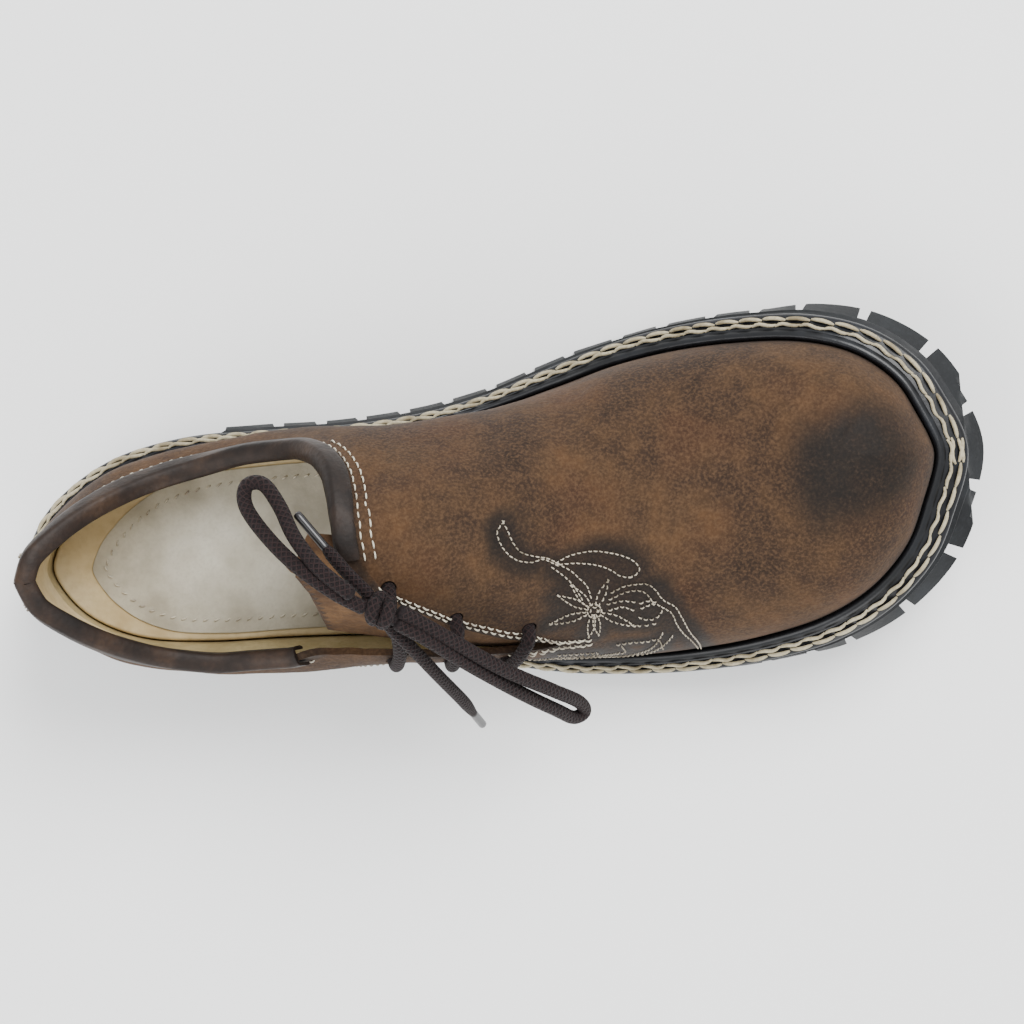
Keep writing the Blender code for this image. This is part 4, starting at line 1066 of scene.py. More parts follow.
def make_stitch_tree():
    tree = bpy.data.node_groups.new("sewn_row", "GeometryNodeTree")
    for name, kind in (("Lines", "Geometry"), *((size, "Float") for size in STITCH_SIZES),
                       ("Thread", "Material")):
        tree.interface.new_socket(name=name, in_out="INPUT", socket_type="NodeSocket" + kind)
    tree.interface.new_socket(name="Stitches", in_out="OUTPUT", socket_type="NodeSocketGeometry")
    given = tree.nodes.new("NodeGroupInput").outputs

    def calc(way, first, second=0.0):
        return sums(tree, way, first, second)

    def vector(**parts):
        return add(tree, "ShaderNodeCombineXYZ", parts).outputs[0]

    # one stitch along X: a line that arches, snakes and thins towards its ends
    half = calc("MULTIPLY", given["Length"], 0.5)
    line = add(tree, "GeometryNodeCurvePrimitiveLine", {
        "Start": vector(X=calc("MULTIPLY", half, -1.0)), "End": vector(X=half)})
    fine = add(tree, "GeometryNodeResampleCurve", {"Curve": line.outputs[0], "Count": 7})
    share = add(tree, "GeometryNodeSplineParameter").outputs["Factor"]
    swing = calc("SUBTRACT", calc("MULTIPLY", share, 2.0), 1.0)
    square = calc("MULTIPLY", swing, swing)
    high = calc("MULTIPLY", given["Rise"], calc("SUBTRACT", 0.75, calc("MULTIPLY", square, 1.9)))
    wave = calc("MULTIPLY", given["Wave"], calc("SINE", calc("MULTIPLY", share, math.tau)))
    moved = add(tree, "GeometryNodeSetPosition", {"Geometry": fine.outputs[0],
                                                  "Offset": vector(Y=wave, Z=high)})
    width = calc("SUBTRACT", 1.0, calc("MULTIPLY", calc("MULTIPLY", square, square), 0.45))
    profile = add(tree, "GeometryNodeCurvePrimitiveCircle", {
        "Resolution": 6, "Radius": calc("MULTIPLY", given["Thickness"], 0.5)})
    thread = add(tree, "GeometryNodeCurveToMesh", {
        "Curve": moved.outputs[0], "Profile Curve": profile.outputs[0], "Scale": width, "Fill Caps": True})
    smooth = add(tree, "GeometryNodeSetShadeSmooth", {"Geometry": thread.outputs[0]})

    # places of the stitches, each turned along the seam and standing off the leather
    seam = add(tree, "GeometryNodeMeshToCurve", {"Mesh": given["Lines"]})
    steps = add(tree, "GeometryNodeResampleCurve", {"Curve": seam.outputs[0], "Length": given["Pitch"]},
                mode="LENGTH")
    facing = add(tree, "GeometryNodeInputNamedAttribute", {"Name": "facing"}, data_type="FLOAT_VECTOR")
    stand = add(tree, "FunctionNodeAlignRotationToVector", {"Vector": facing.outputs[0]}, axis="Z")
    heading = add(tree, "GeometryNodeInputTangent").outputs[0]
    turned = add(tree, "FunctionNodeAlignRotationToVector", {
        "Rotation": stand.outputs[0], "Vector": heading}, axis="X", pivot_axis="Z")
    jitter = add(tree, "FunctionNodeRandomValue", {"Seed": 7}, data_type="FLOAT")
    give(tree, jitter.inputs[2], calc("MULTIPLY", given["Unevenness"], -1.0))
    give(tree, jitter.inputs[3], given["Unevenness"])
    angle = calc("ADD", given["Slant"], jitter.outputs[1])
    swung = add(tree, "FunctionNodeRotateRotation", {
        "Rotation": turned.outputs[0], "Rotate By": vector(Z=angle)}, rotation_space="LOCAL")
    size = calc("ADD", 1.0, calc("MULTIPLY", jitter.outputs[1], 0.6))
    placed = add(tree, "GeometryNodeInstanceOnPoints", {
        "Points": steps.outputs[0], "Instance": smooth.outputs[0], "Rotation": swung.outputs[0],
        "Scale": vector(X=size, Y=1.0, Z=1.0)})
    real = add(tree, "GeometryNodeRealizeInstances", {"Geometry": placed.outputs[0]})
    coloured = add(tree, "GeometryNodeSetMaterial", {"Geometry": real.outputs[0],
                                                     "Material": given["Thread"]})
    tree.links.new(coloured.outputs[0], add(tree, "NodeGroupOutput").inputs["Stitches"])
    return tree


stitch_tree = make_stitch_tree()


def sew(name, lines, thread, lift, **sizes):
    """One mesh of stitches along lines of (point, outward direction), riding on the shoe."""
    mesh = bpy.data.meshes.new(name + "_lines")
    points, edges, facing = [], [], []
    for line in lines:
        first = len(points)
        points += [point + out * lift for point, out in line]
        facing += [out for _, out in line]
        edges += [(first + k, first + k + 1) for k in range(len(line) - 1)]
    mesh.from_pydata(points, edges, [])
    layer = mesh.attributes.new("facing", "FLOAT_VECTOR", "POINT")
    layer.data.foreach_set("vector", [c for out in facing for c in out])
    guide = bpy.data.objects.new(name + "_lines", mesh)
    bpy.context.collection.objects.link(guide)
    sewing = guide.modifiers.new("sewing", "NODES")
    sewing.node_group = stitch_tree
    sockets = {item.name: item.identifier for item in stitch_tree.interface.items_tree
               if item.in_out == "INPUT"}
    for size in STITCH_SIZES:
        sewing[sockets[size]] = sizes.get(size.lower(), 0.0)
    sewing[sockets["Thread"]] = thread
    made = plain_copy(guide, name)
    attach(made, "root")
    print(name, "faces:", len(made.data.polygons))
    return made


# %% [markdown]
# Three threads are used: thick waxed linen in the welt, a thinner cream thread in the seams, and an
# off-white embroidery thread. Each is darker in its hollows, where wax and dust collect.

# %% Threads
def make_thread_finish(name, dark, light, twist):
    """Thread whose plies are about twist metres wide, darker where dirt has gathered."""
    finish, tree, shader = new_finish(name, {"Roughness": 0.75})
    dirt = patch_noise(tree, 0.005, 3.0, 0.6)
    ply = patch_noise(tree, twist, 2.0, 0.5)
    colour = ramp(tree, dirt, [(0.32, dark), (0.52, light)])
    tree.links.new(blend(tree, between(tree, ply, 0.4, 0.7, 0.0, 0.45), colour, tone(dark)),
                   shader.inputs["Base Color"])
    relief(tree, shader, [(ply, 0.0002, 0.6)])
    return finish


linen_finish = make_thread_finish("waxed_linen_thread", "#75694f", "#a99f85", 0.0005)
seam_finish = make_thread_finish("cream_seam_thread", "#8c8172", "#c6bfac", 0.0003)
embroidery_finish = make_thread_finish("embroidery_thread", "#6d6353", "#aba190", 0.0003)

sew("embroidery_stitches", embroidery, embroidery_finish, lift=0.0002, pitch=0.0018, length=0.00125,
    thickness=0.00044, rise=0.00028, unevenness=0.10)

# %% [markdown]
# ## Seams of the throat, the slit and the collar
#
# Two rows run beside the binding of the throat, one goes on round the collar, and two follow the
# slit's edge on the vamp until they meet in a V where the slit ends. A row is found by stepping
# off the edge and then settling back on the surface.

# %% Rows beside the edges
SETTLE_LOW, SETTLE_FRONT, SETTLE_BACK = 0.5, 0.4, 0.997      # how far a settled point may go


def settle(side, at, target):
    """Nearest place to a target on the outer surface, near the collar, and the normal there."""
    up, step = 0.97, 0.002
    for _ in range(8):
        here = surface(side, at, up)
        by_round = (surface(side, at + step, up) - surface(side, at - step, up)) / (2 * step)
        by_up = (here - surface(side, at, up - step)) / step
        miss = target - here
        a, b, c = by_round.dot(by_round), by_round.dot(by_up), by_up.dot(by_up)
        u, v = miss.dot(by_round), miss.dot(by_up)
        area = max(a * c - b * b, 1e-12)
        at = clamp(at + (c * u - b * v) / area, SETTLE_FRONT, SETTLE_BACK)
        up = clamp(up + (a * v - b * u) / area, SETTLE_LOW)
    return spot(side, at, up)


def collar_frame(side, way):
    """Edge point of the collar, the direction out of the leather's face and off its edge."""
    step = 0.01

    def edge(which, share):
        return top_of_column(which, collar_share(share))[0]
    if way < step:
        run = (edge(INNER, step) - edge(OUTER, step)) * side
    elif way > 1 - step:
        run = (edge(OUTER, 1 - step) - edge(INNER, 1 - step)) * side
    else:
        run = edge(side, way + step) - edge(side, way - step)
    run.normalize()
    out = surface_normal(side, min(collar_share(way), HEEL_SEAM), 0.985)
    out = (out - run * out.dot(run)).normalized()
    return edge(side, way), out, out.cross(run) * side


COLLAR_WAYS = ([(OUTER, VAMP_CORNER * (1 - k / 4)) for k in range(4)] + [(INNER, k / 125) for k in range(126)]
               + [(OUTER, 1 - (1 - QUARTER_CORNER) * k / 96) for k in range(1, 97)])


def row_off_collar(off_edge, ways):
    """Row at a distance from the collar's edge."""
    row = []
    for side, way in ways:
        point, _, off = collar_frame(side, way)
        row.append(settle(side, collar_share(way), point - off * off_edge))
    return row


def row_off_slit(column, distance, first, last, count=70):
    """Row beside an edge of the slit, closing on the slit's front end."""
    row = []
    for k in range(count + 1):
        share = first + (last - first) * k / count
        up = through(SLIT, column, share)
        near, far = surface(OUTER, THROAT * share, up), surface(OUTER, THROAT * share, up + 0.01)
        closing = clamp((share - 0.745) / 0.06, 0.25)
        up += distance * closing * 0.01 / (far - near).length
        row.append(spot(OUTER, THROAT * share, up))
    return row


seams = [row_off_collar(0.0066, COLLAR_WAYS), row_off_collar(0.0096, COLLAR_WAYS[:24])]
seams += [row_off_slit(2, 0.0022, 0.715, 1.000), row_off_slit(2, 0.0046, 0.725, 1.000)]
seams += [row_off_slit(1, -0.0022, 0.715, 0.835, 30), row_off_slit(1, -0.0046, 0.725, 0.835, 30)]
sew("seam_stitches", seams, seam_finish, lift=0.00026, pitch=0.0031, length=0.0022,
    thickness=0.00055, rise=0.00032, unevenness=0.04)

# %% [markdown]
# ## Binding, backstay and tongue
#
# A strip of dark cowhide is folded over the raw edge and stitched through. It is lofted from a
# rounded cross-section that keeps to the leather on both sides. The backstay is a thin strip that
# covers the heel seam. The tongue is a loose leaf of lighter split suede under the slit; its end is
# cut with pinking shears, so its edge is a row of 3 mm teeth.

# %% Binding
BINDING_GAP, BINDING_INSIDE_GAP = 0.0005, 0.0011
BINDING_SHAPE = [  # out of the face in thicknesses, off the edge in widths
    (0.0, -1.00), (0.60, -1.01), (0.95, -0.93), (1.12, -0.70), (1.12, -0.40)]


def binding_section(side, way):
    """Section of the folded strip: up the outer face, over the edge and down the inner face."""
    point, out, off = collar_frame(side, way)
    outer, inner, thick = BINDING_GAP, -UPPER_WALL - BINDING_INSIDE_GAP, BINDING_THICK
    at, points = collar_share(way), []
    for away, down in BINDING_SHAPE:
        place, facing = settle(side, at, point + off * down * BINDING_WIDTH)
        points.append(place + facing * (outer + thick * away))
    for away, down in ((outer + thick, 0.0), (outer + thick * 0.7, 0.7 * thick), (outer, 1.15 * thick),
                       (-UPPER_WALL / 2, 1.42 * thick), (inner, 1.15 * thick),
                       (inner - thick * 0.7, 0.7 * thick), (inner - thick, 0.0)):
        points.append(point + off * down + out * away)
    for away, down in ((inner - thick, -0.7), (inner - thick * 0.6, -1.0), (inner, -1.0)):
        place, facing = settle(side, at, point + off * down * BINDING_INSIDE)
        points.append(place + facing * away)
    return points + [point + out * inner + off * GAP, point + out * outer + off * GAP]


binding = finish_mesh("collar_binding_strip", ring_mesh([binding_section(*way) for way in COLLAR_WAYS],
                                                        closed_path=False), [binding_finish], sharp=60)
print("binding faces:", len(binding.data.polygons))


# %% Backstay
BACKSTAY_LOW, BACKSTAY_HIGH, BACKSTAY_STEPS, BACKSTAY_HALF = 0.13, 0.865, 36, 12


def backstay_point(up, across, lift):
    """Point of the strip: across runs from -1 on the outer side to 1 on the inner side."""
    reach = BACKSTAY_WIDTH * (1.0 + 0.45 * max(0.0, (up - 0.6) / 0.26) ** 2)
    side = INNER if across >= 0 else OUTER
    at = 1 - abs(across) * reach / RUN[INNER][-1]
    point = surface(side, at, up)
    out = surface_normal(side, at, up) if at < 0.999 else Vector((-1, 0, 0))
    return point + out * lift, out


def make_backstay():
    """Strip over the heel seam, thinned at its two long edges."""
    sections = []
    places = [j / BACKSTAY_HALF for j in range(-BACKSTAY_HALF, BACKSTAY_HALF + 1)]
    thick = [BACKSTAY_THICK * (1 - 0.6 * max(0, abs(across) - 0.9) * 10) for across in places]
    for k in range(BACKSTAY_STEPS + 1):
        up = BACKSTAY_LOW + (BACKSTAY_HIGH - BACKSTAY_LOW) * k / BACKSTAY_STEPS
        outer = [backstay_point(up, across, BACKSTAY_GAP + rise)[0] for across, rise in zip(places, thick)]
        inner = [backstay_point(up, across, BACKSTAY_GAP)[0] for across in places]
        sections.append(outer + inner[::-1])
    return finish_mesh("heel_backstay", ring_mesh(sections, closed_path=False), [binding_finish], sharp=50)


backstay = make_backstay()
backstay_rows = [[backstay_point(0.15 + 0.69 * k / 60, across, BACKSTAY_GAP + BACKSTAY_THICK)
                  for k in range(61)] for across in (-0.84, 0.84)]
sew("backstay_stitches", backstay_rows, embroidery_finish, lift=0.0002, pitch=0.0032, length=0.0023,
    thickness=0.00055, rise=0.0003, unevenness=0.05)

# %% Tongue
TONGUE_BY_ROW = [(i, *row) for i, row in enumerate(TONGUE_ROWS)]
TEETH, TOOTH = 14, 0.0022


def make_tongue():
    """Leaf under the slit, its rear end cut in teeth."""
    sections, wide, long = [], TEETH * 6, 84
    for i in range(long + 1):
        row = (len(TONGUE_ROWS) - 1) * i / long
        share, low, high, sunk, carried = [through(TONGUE_BY_ROW, c, row) for c in range(1, 6)]
        end = max(0.0, (i - long + 6) / 6)
        top, bottom = [], []
        for k in range(wide + 1):
            up = low + (high - low) * k / wide
            saw = abs((k / wide * TEETH) % 1.0 - 0.5) * 2
            back = carried + (end * TOOTH * saw if end else 0.0)
            move = Vector((-back, back * TONGUE_TAPER, 0.0))
            point, out = spot(OUTER, THROAT * share, up)
            fuzz = 0.00025 * noise.noise((point + move) * 90)
            top.append(point - out * (UPPER_WALL + sunk + 0.0002 - fuzz) + move)
            bottom.append(point - out * (UPPER_WALL + sunk + TONGUE_THICK) + move)
        sections.append(top + bottom[::-1])
    return finish_mesh("suede_tongue", ring_mesh(sections, closed_path=False), [tongue_finish], sharp=50)


tongue = make_tongue()

# %% [markdown]
# ## Inside: sock, heel lining and their seams
#
# The sock is pale goatskin glued over the insole, with a sewn line a few millimetres from its edge.
# A separate heel lining of lighter pigskin covers the counter; its front edge is cut in a curve.

# %% Inside pieces
def loop_of(line):
    """Closed loop round the shoe of line(side, share): inner side to the heel, then back."""
    inner = [line(INNER, at) for at in STATIONS]
    outer = [line(OUTER, at) for at in STATIONS[1:-1]]
    return inner + outer[::-1]


def plate_mesh(levels):
    """Solid between loops from the bottom to the top, laddered across from side to side."""
    bm = bmesh.new()
    rings = [[bm.verts.new(p) for p in level] for level in levels]
    count = len(rings[0])
    for low, high in zip(rings, rings[1:]):
        for k in range(count):
            after = (k + 1) % count
            bm.faces.new((low[k], low[after], high[after], high[k]))
    half = len(STATIONS) - 1
    for ring in (rings[0], rings[-1]):
        for k in range(half):
            corners = []
            for corner in (ring[k], ring[k + 1], ring[-(k + 1) % count], ring[-k % count]):
                if corner not in corners:
                    corners.append(corner)
            bm.faces.new(corners)
    return bm


def insole_edge(shrink, depth):
    """Loop inside the upper's foot, in by the shrink, at a depth under the welt's top."""
    inset = UPPER_WALL + INSOLE_GAP + shrink
    return loop_of(lambda side, at: bend(feather(side, at) - welt_point(side, at)[1] * inset, depth))


INSOLE_TOP = WELT_THICK - INSOLE_THICK
insole = finish_mesh("insole_board", plate_mesh([insole_edge(shrink, depth) for shrink, depth in (
    (0.0008, WELT_THICK - GAP * 0.5), (0.0, WELT_THICK - 0.001), (0.0, INSOLE_TOP + 0.0012),
    (0.0004, INSOLE_TOP + 0.0004), (0.0012, INSOLE_TOP))]), [heel_lining_finish], sharp=60)
SOCK_TOP = INSOLE_TOP - 0.0007
SOCK_STAND = 0.0028                              # sock's edge to the wall
SOCK_FORWARD, SOCK_OUTWARD = 0.0095, 0.0015      # how far its heel end is moved


def sock_line(inset, depth):
    """Loop inside the sock's edge; the sock stands back from the wall, most of all at the heel."""
    def place(side, at):
        point, out = welt_point(side, at)
        back = clamp((-0.10 - point.x / LENGTH) / 0.36)
        stand = UPPER_WALL + INSOLE_GAP + SOCK_STAND + inset
        moved = feather(side, at) - out * stand + Vector((SOCK_FORWARD * back, -SOCK_OUTWARD * back, 0))
        return bend(moved, depth)
    return loop_of(place)


sock = finish_mesh("glued_sock", plate_mesh([
    sock_line(0.0, SOCK_TOP + 0.0009), sock_line(0.0, SOCK_TOP + 0.0002), sock_line(0.0003, SOCK_TOP)]),
    [sock_finish], sharp=60)
ring = sock_line(0.0042, SOCK_TOP)
sew("sock_stitches", [[(p, Vector((0, 0, 1))) for p in ring[90:] + ring[:100]]], seam_finish,
    lift=0.0001, pitch=0.0034, length=0.0020, thickness=0.0006, rise=0.0003, slant=0.5, unevenness=0.05)

LINING_REACH, LINING_CURVE = 0.30, 0.08      # shares of the way from the heel to the throat
LINING_LOW, LINING_TALL = 0.16, 0.74         # shares of the wall's height
LINING_STEPS, LINING_ROWS = 80, 26


def make_heel_lining():
    """Thin shell against the inside of the counter, from one side of the heel to the other."""
    sections = []
    for k in range(LINING_STEPS + 1):
        across = -1 + 2 * k / LINING_STEPS
        side = INNER if across >= 0 else OUTER
        low_at = collar_share(1 - abs(across) * LINING_REACH)
        near, far = [], []
        for j in range(LINING_ROWS + 1):
            up = LINING_LOW + LINING_TALL * j / LINING_ROWS
            curve = LINING_CURVE * math.sin(math.pi * j / LINING_ROWS) * abs(across)
            at = min(low_at - curve * (1 - THROAT), 0.9995)
            point, out = surface(side, at, up), surface_normal(side, min(at, HEEL_SEAM), up)
            near.append(point - out * (UPPER_WALL + 0.0008))
            far.append(point - out * (UPPER_WALL + 0.0001))
        sections.append(near + far[::-1])
    return finish_mesh("heel_lining", ring_mesh(sections, closed_path=False), [heel_lining_finish], sharp=50)


heel_lining = make_heel_lining()

# %% [markdown]
# ## Lace bars
#
# The lace crosses the slit three times. Each bar dips into a hole at both ends and arches over the
# gap between, resting on the leather.

# %% Lace bars
BAR_STEPS = 12


def make_bar(number, vamp, quarter):
    """One crossing of the lace, from a hole of the vamp to one of the quarter."""
    points = []
    for k in range(BAR_STEPS + 1):
        share = k / BAR_STEPS
        at = THROAT * (vamp[0] + (quarter[0] - vamp[0]) * share)
        up = vamp[1] + (quarter[1] - vamp[1]) * share
        lift = LACE / 2 + LACE_REST + BAR_ARCH[number] * math.sin(math.pi * share)
        point, out = spot(OUTER, at, up)
        if k in (0, BAR_STEPS):
            lift = -0.0016
        elif k in (1, BAR_STEPS - 1):
            lift *= 0.75
        points.append(point + out * lift)
    return make_cord("lace_bar_dressed_%d" % (number + 1), points, cord_finish, LACE / 2 * 0.97)[0]


bars = [make_bar(n, *places) for n, places in enumerate(zip(VAMP_HOLES, QUARTER_HOLES))]

# %% [markdown]
# ## Welt
#
# The welt is a strip of blackened hide. Against the upper it stands up in a round bead, and from
# there it slopes to its edge. Two rows of waxed linen lie on the slope: the inner one snakes, and
# the outer one runs straight, with a stitch every 7.6 mm. The welt is polished, so it takes a thin
# clear coat.

# %% Welt and its thread
WELT_SLOPE_TOP = 0.0024
SLOPE_START = WELT_SLOPE_TOP * 0.86      # height of the slope beside the bead
BEAD_SHARE = 0.42                        # the bead takes at most this share of what shows


def welt_sizes(point):
    """Where the welt begins, inwards of its edge, and the width of its bead."""
    show = through(WELT_SHOW, 1, point.x / LENGTH)
    return GAP - show, min(BEAD_WIDTH, BEAD_SHARE * show)


def welt_section(side, at):
    """Section of the welt: the bead, the slope and the edge."""
    point, out = welt_point(side, at)
    inside, bead = welt_sizes(point)
    shape = [(inside, -WELT_THICK), (inside, BEAD_HEIGHT * 0.80), (inside + 0.12 * bead, BEAD_HEIGHT * 0.94),
             (inside + 0.35 * bead, BEAD_HEIGHT * 1.02), (inside + 0.60 * bead, BEAD_HEIGHT * 0.98),
             (inside + 0.85 * bead, BEAD_HEIGHT * 0.84), (inside + 0.98 * bead, WELT_SLOPE_TOP * 0.92),
             (inside + 1.06 * bead, SLOPE_START), (inside + 1.2 * bead, SLOPE_START),
             (inside * 0.5, WELT_SLOPE_TOP * 0.55), (-0.0012, 0.0002), (-0.0004, -0.0003), (0.0, -0.0010),
             (0.0, -WELT_THICK - 0.0002)]
    return [bend(point + out * grow, -height) for grow, height in shape]


welt = finish_mesh("stitched_welt", ring_mesh(loop_of(welt_section)), [welt_finish], sharp=55)


def welt_row(share):
    """Row at a share of the slope, from just outside the bead to the edge."""
    row = []
    for side, at in [(INNER, at) for at in STATIONS] + [(OUTER, at) for at in STATIONS[-2::-1]]:
        point, out = welt_point(side, at)
        inside, bead = welt_sizes(point)
        top, foot = inside + 1.15 * bead, -0.0006
        grow = top + (foot - top) * share
        height = SLOPE_START + (0.0002 - SLOPE_START) * share
        angle = math.atan2(SLOPE_START, foot - top)
        up = bend(point, -1.0) - bend(point, 0.0)
        facing = (up.normalized() * math.cos(angle) + out * math.sin(angle)).normalized()
        row.append((bend(point + out * grow, -height), facing))
    return row


sew("welt_inner_stitches", [welt_row(0.22)], linen_finish, lift=0.0003, pitch=0.0076, length=0.0078,
    thickness=0.00125, rise=0.0004, wave=0.00045, slant=0.05, unevenness=0.04)
sew("welt_outer_stitches", [welt_row(0.72)], linen_finish, lift=0.0003, pitch=0.0076, length=0.0072,
    thickness=0.00135, rise=0.0005, slant=-0.06, unevenness=0.04)


# %% [markdown]
# ## Rubber sole
#
# Under the welt lie a thin dark midsole and a moulded rubber outsole. The outsole widens towards
# the floor, most of all round the toe, carries a thin rib near its top, and is cut into lugs by
# grooves round its edge and across its middle. Moulded rubber is nearly black with a bluish cast;
# handling leaves it dusty in patches of 10 mm with fine specks.

# %% Rubber finishes
def make_rubber_finish(name, dark, mid, dust, roughness):
    """Rubber with patches of dust and specks."""
    finish, tree, shader = new_finish(name, {"Specular IOR Level": 0.28})
    clouds = patch_noise(tree, 0.012, 5.0, 0.65)
    specks = patch_noise(tree, 0.0009, 3.0, 0.6)
    colour = ramp(tree, clouds, [(0.36, dark), (0.55, mid), (0.74, dust)])
    tree.links.new(blend(tree, between(tree, specks, 0.5, 0.8, 0.0, 0.5), colour, tone(dust)),
                   shader.inputs["Base Color"])
    tree.links.new(between(tree, clouds, 0.35, 0.7, roughness - 0.1, roughness + 0.15),
                   shader.inputs["Roughness"])
    relief(tree, shader, [(clouds, 0.0004, 0.3), (specks, 0.00018, 0.5)])
    return finish


rubber_finish = make_rubber_finish("moulded_black_rubber", "#0d0e10", "#151719", "#25272a", 0.52)
midsole_finish = make_rubber_finish("dark_midsole_layer", "#0b0b0c", "#131212", "#1f1d1c", 0.6)


# %% Midsole and outsole
MID_TOP, MID_FOOT = WELT_THICK + 0.00022, WELT_THICK + GAP + MIDSOLE_THICK + GAP - 0.00005
MIDSOLE_SIDE = [  # depth under the welt's top, how far it stands out
    (MID_FOOT, -0.0006), (MID_FOOT - 0.0006, -0.0002), (MID_FOOT - 0.0012, 0.0), (MID_TOP + 0.0008, -0.0001),
    (MID_TOP, -0.0005)]
midsole = finish_mesh("dark_midsole_plate", plate_mesh([
    loop_of(lambda side, at: bend(welt_point(side, at)[0] + welt_point(side, at)[1] * grow, depth))
    for depth, grow in MIDSOLE_SIDE]), [midsole_finish], sharp=50)

HEEL_FRONT, TOE_BACK = -0.28, 0.28      # in shares of the length


def flare(x):
    """Extra width of the tread, more round the toe."""
    return TREAD_FLARE + TOE_FLARE * max(0.0, (x / LENGTH - TOE_BACK) / 0.185)


OUTSOLE_SIDE = [  # share of the way to the tread, how far it stands out
    (1.000, -0.0002), (0.970, 0.0), (0.700, 0.0), (0.400, -0.0002), (0.235, -0.0002), (0.205, 0.0004),
    (0.160, 0.0006), (0.120, 0.0001), (0.030, 0.0), (0.000, -0.0005)]


def tread_point(side, at, share, stand):
    """Point of the outsole's side, at a share of the way from its top to the tread."""
    point, out = welt_point(side, at)
    top = WELT_THICK + MIDSOLE_THICK + 2 * GAP
    grow = (-HEEL_TAPER if point.x / LENGTH < HEEL_FRONT else flare(point.x)) * share
    grown = point + out * grow
    bottom = through(SOLE_DEPTH, 1, min(grown.x, WELT_TIP) / LENGTH)
    return bend(grown + out * stand, top + (bottom - top) * share)


def groove_box(bm, centre, along, out, length, width, depth_low, depth_high):
    """Wedge of a groove in the tread, a little wider at the floor, laid on the bent sole."""
    corners = []
    for depth, spread_out in ((depth_low, 0.82), (depth_high, 1.22)):
        for a, b in ((-length, -1), (OVERSHOOT, -1), (OVERSHOOT, 1), (-length, 1)):
            corners.append(bm.verts.new(bend(centre + out * a + along * (b * width / 2 * spread_out), depth)))
    low, high = corners[:4], corners[4:]
    bm.faces.new(low[::-1])
    bm.faces.new(high)
    for k in range(4):
        after = (k + 1) % 4
        bm.faces.new((low[k], low[after], high[after], high[k]))


def groove_places(side):
    """Places along the shoe of the grooves in one edge, wider apart at the ball."""
    run, line, places, at = RUN[side], SIDES[side], [], TOE_PITCH / 2
    while at < run[-1] - 0.006:
        x = float(np.interp(at, run, line[:, 0]))
        along = x / LENGTH
        if along > -0.225 or -0.47 < along < -0.345:
            places.append(x)
        at += TOE_PITCH if along > 0.36 else SIDE_PITCH if along > -0.24 else HEEL_PITCH
    return places


def make_outsole():
    """Block under the midsole, cut into lugs."""
    loops = [loop_of(lambda side, at: tread_point(side, at, share, stand)) for share, stand in OUTSOLE_SIDE]
    made = finish_mesh("outsole_block", plate_mesh(loops), [rubber_finish])
    bm = bmesh.new()
    for side in (INNER, OUTER):
        for x in groove_places(side):
            centre, out = welt_point(side, station_at(x))
            heel = x / LENGTH < HEEL_FRONT
            depth = through(SOLE_DEPTH, 1, x / LENGTH)
            centre = centre + out * (0.0 if heel else flare(x))
            groove_box(bm, centre, Vector((-out.y, out.x, 0)), out, LUG_DEPTH * (0.75 if heel else 1.0),
                       GROOVE, depth - LUG_HEIGHT, depth + OVERSHOOT)
    first, last = -0.20 * LENGTH, 0.40 * LENGTH
    for i in range(int((last - first) / CENTRE_PITCH) + 1):
        x = first + CENTRE_PITCH * i
        inner, outer = welt_point(INNER, station_at(x))[0].y, welt_point(OUTER, station_at(x))[0].y
        half = (inner - outer) / 2 - LUG_DEPTH - GROOVE
        groove_box(bm, Vector((x, (inner + outer) / 2 + half, 0)), Vector((1, 0, 0)), Vector((0, 1, 0)),
                   2 * half, GROOVE, BALL_STACK - LUG_HEIGHT, BALL_STACK + OVERSHOOT)
    cutter = finish_mesh("groove_cutter", bm, [])
    return carve(made, [cutter], "rubber_outsole", 32, overlapping=True)


outsole = make_outsole()

# %% [markdown]
# ## What stands for what
#
# The other pieces are handed over like the cords. The stitches, the sock and the heel lining have no
# solid of their own, so they only ride on the shoe.

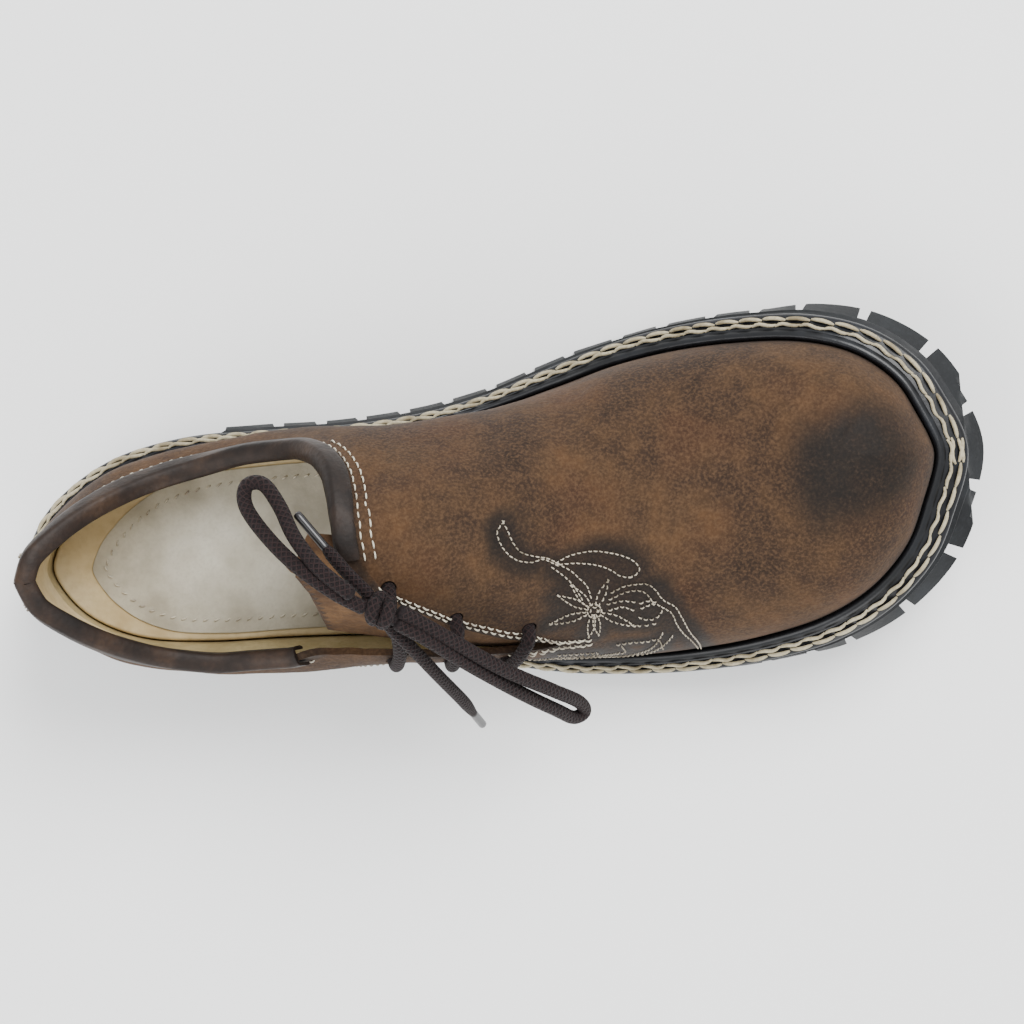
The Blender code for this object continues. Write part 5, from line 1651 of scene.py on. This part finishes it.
# %% Hand the pieces over
for piece, node, look in (
        (upper, "upper", "waxed_suede"), (binding, "collar_binding", "dark_leather"),
        (backstay, "backstay", "dark_leather"), (tongue, "tongue", "tan_suede"),
        (insole, "insole", "sock_leather"), (welt, "welt", "welt_leather"),
        (midsole, "midsole", "dark_midsole"), (outsole, "outsole", "black_rubber"),
        *((bar, "lace_bar_%d" % (n + 1), "lace_cord") for n, bar in enumerate(bars))):
    dress(piece, node)
for piece in (sock, heel_lining):
    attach(piece, "root")

# %% [markdown]
# ## Studio
#
# A pale floor and big soft lights give the even light of a product photo. The main light comes from
# above the toe and the far side, so that the relief of the seams and the dip of the throat read.

# %% Floor, lights and world
FLOOR_REACH, FLOOR_DROP = 2, 0.0002      # half side, and depth under the tread
LIGHT_AIM = (0, 0, 0.04)
floor_mesh = bpy.data.meshes.new("studio_floor")
floor_mesh.from_pydata([(x * FLOOR_REACH, y * FLOOR_REACH, -FLOOR_DROP)
                        for x, y in ((-1, -1), (1, -1), (1, 1), (-1, 1))], [], [(0, 1, 2, 3)])
floor = bpy.data.objects.new("studio_floor", floor_mesh)
bpy.context.collection.objects.link(floor)
paper, paper_tree, paper_shader = new_finish("matte_studio_paper", {"Roughness": 0.9})
paper_tree.links.new(ramp(paper_tree, patch_noise(paper_tree, 0.3), [(0.3, "#f4f4f3"), (0.7, "#f8f8f7")]),
                     paper_shader.inputs["Base Color"])
floor_mesh.materials.append(paper)


def soft_light(name, place, size, power):
    """Round area light of the given size, aimed at the middle of the shoe."""
    data = bpy.data.lights.new(name, "AREA")
    data.shape = "DISK"
    data.size = size
    data.energy = power
    made = bpy.data.objects.new(name, data)
    made.location = place
    made.rotation_euler = (Vector(LIGHT_AIM) - Vector(place)).to_track_quat("-Z", "Y").to_euler()
    bpy.context.collection.objects.link(made)


soft_light("main_light", (0.45, 0.75, 1.25), 0.9, 32.0)
soft_light("fill_light", (-0.9, -0.5, 1.1), 1.1, 14.0)
soft_light("front_light", (0.3, -1.2, 0.5), 0.8, 7.0)
world = bpy.data.worlds.new("studio_world")
world.use_nodes = True
world.node_tree.nodes["Background"].inputs["Color"].default_value = tone("#f4f6f8")
world.node_tree.nodes["Background"].inputs["Strength"].default_value = 1.25
bpy.context.scene.world = world
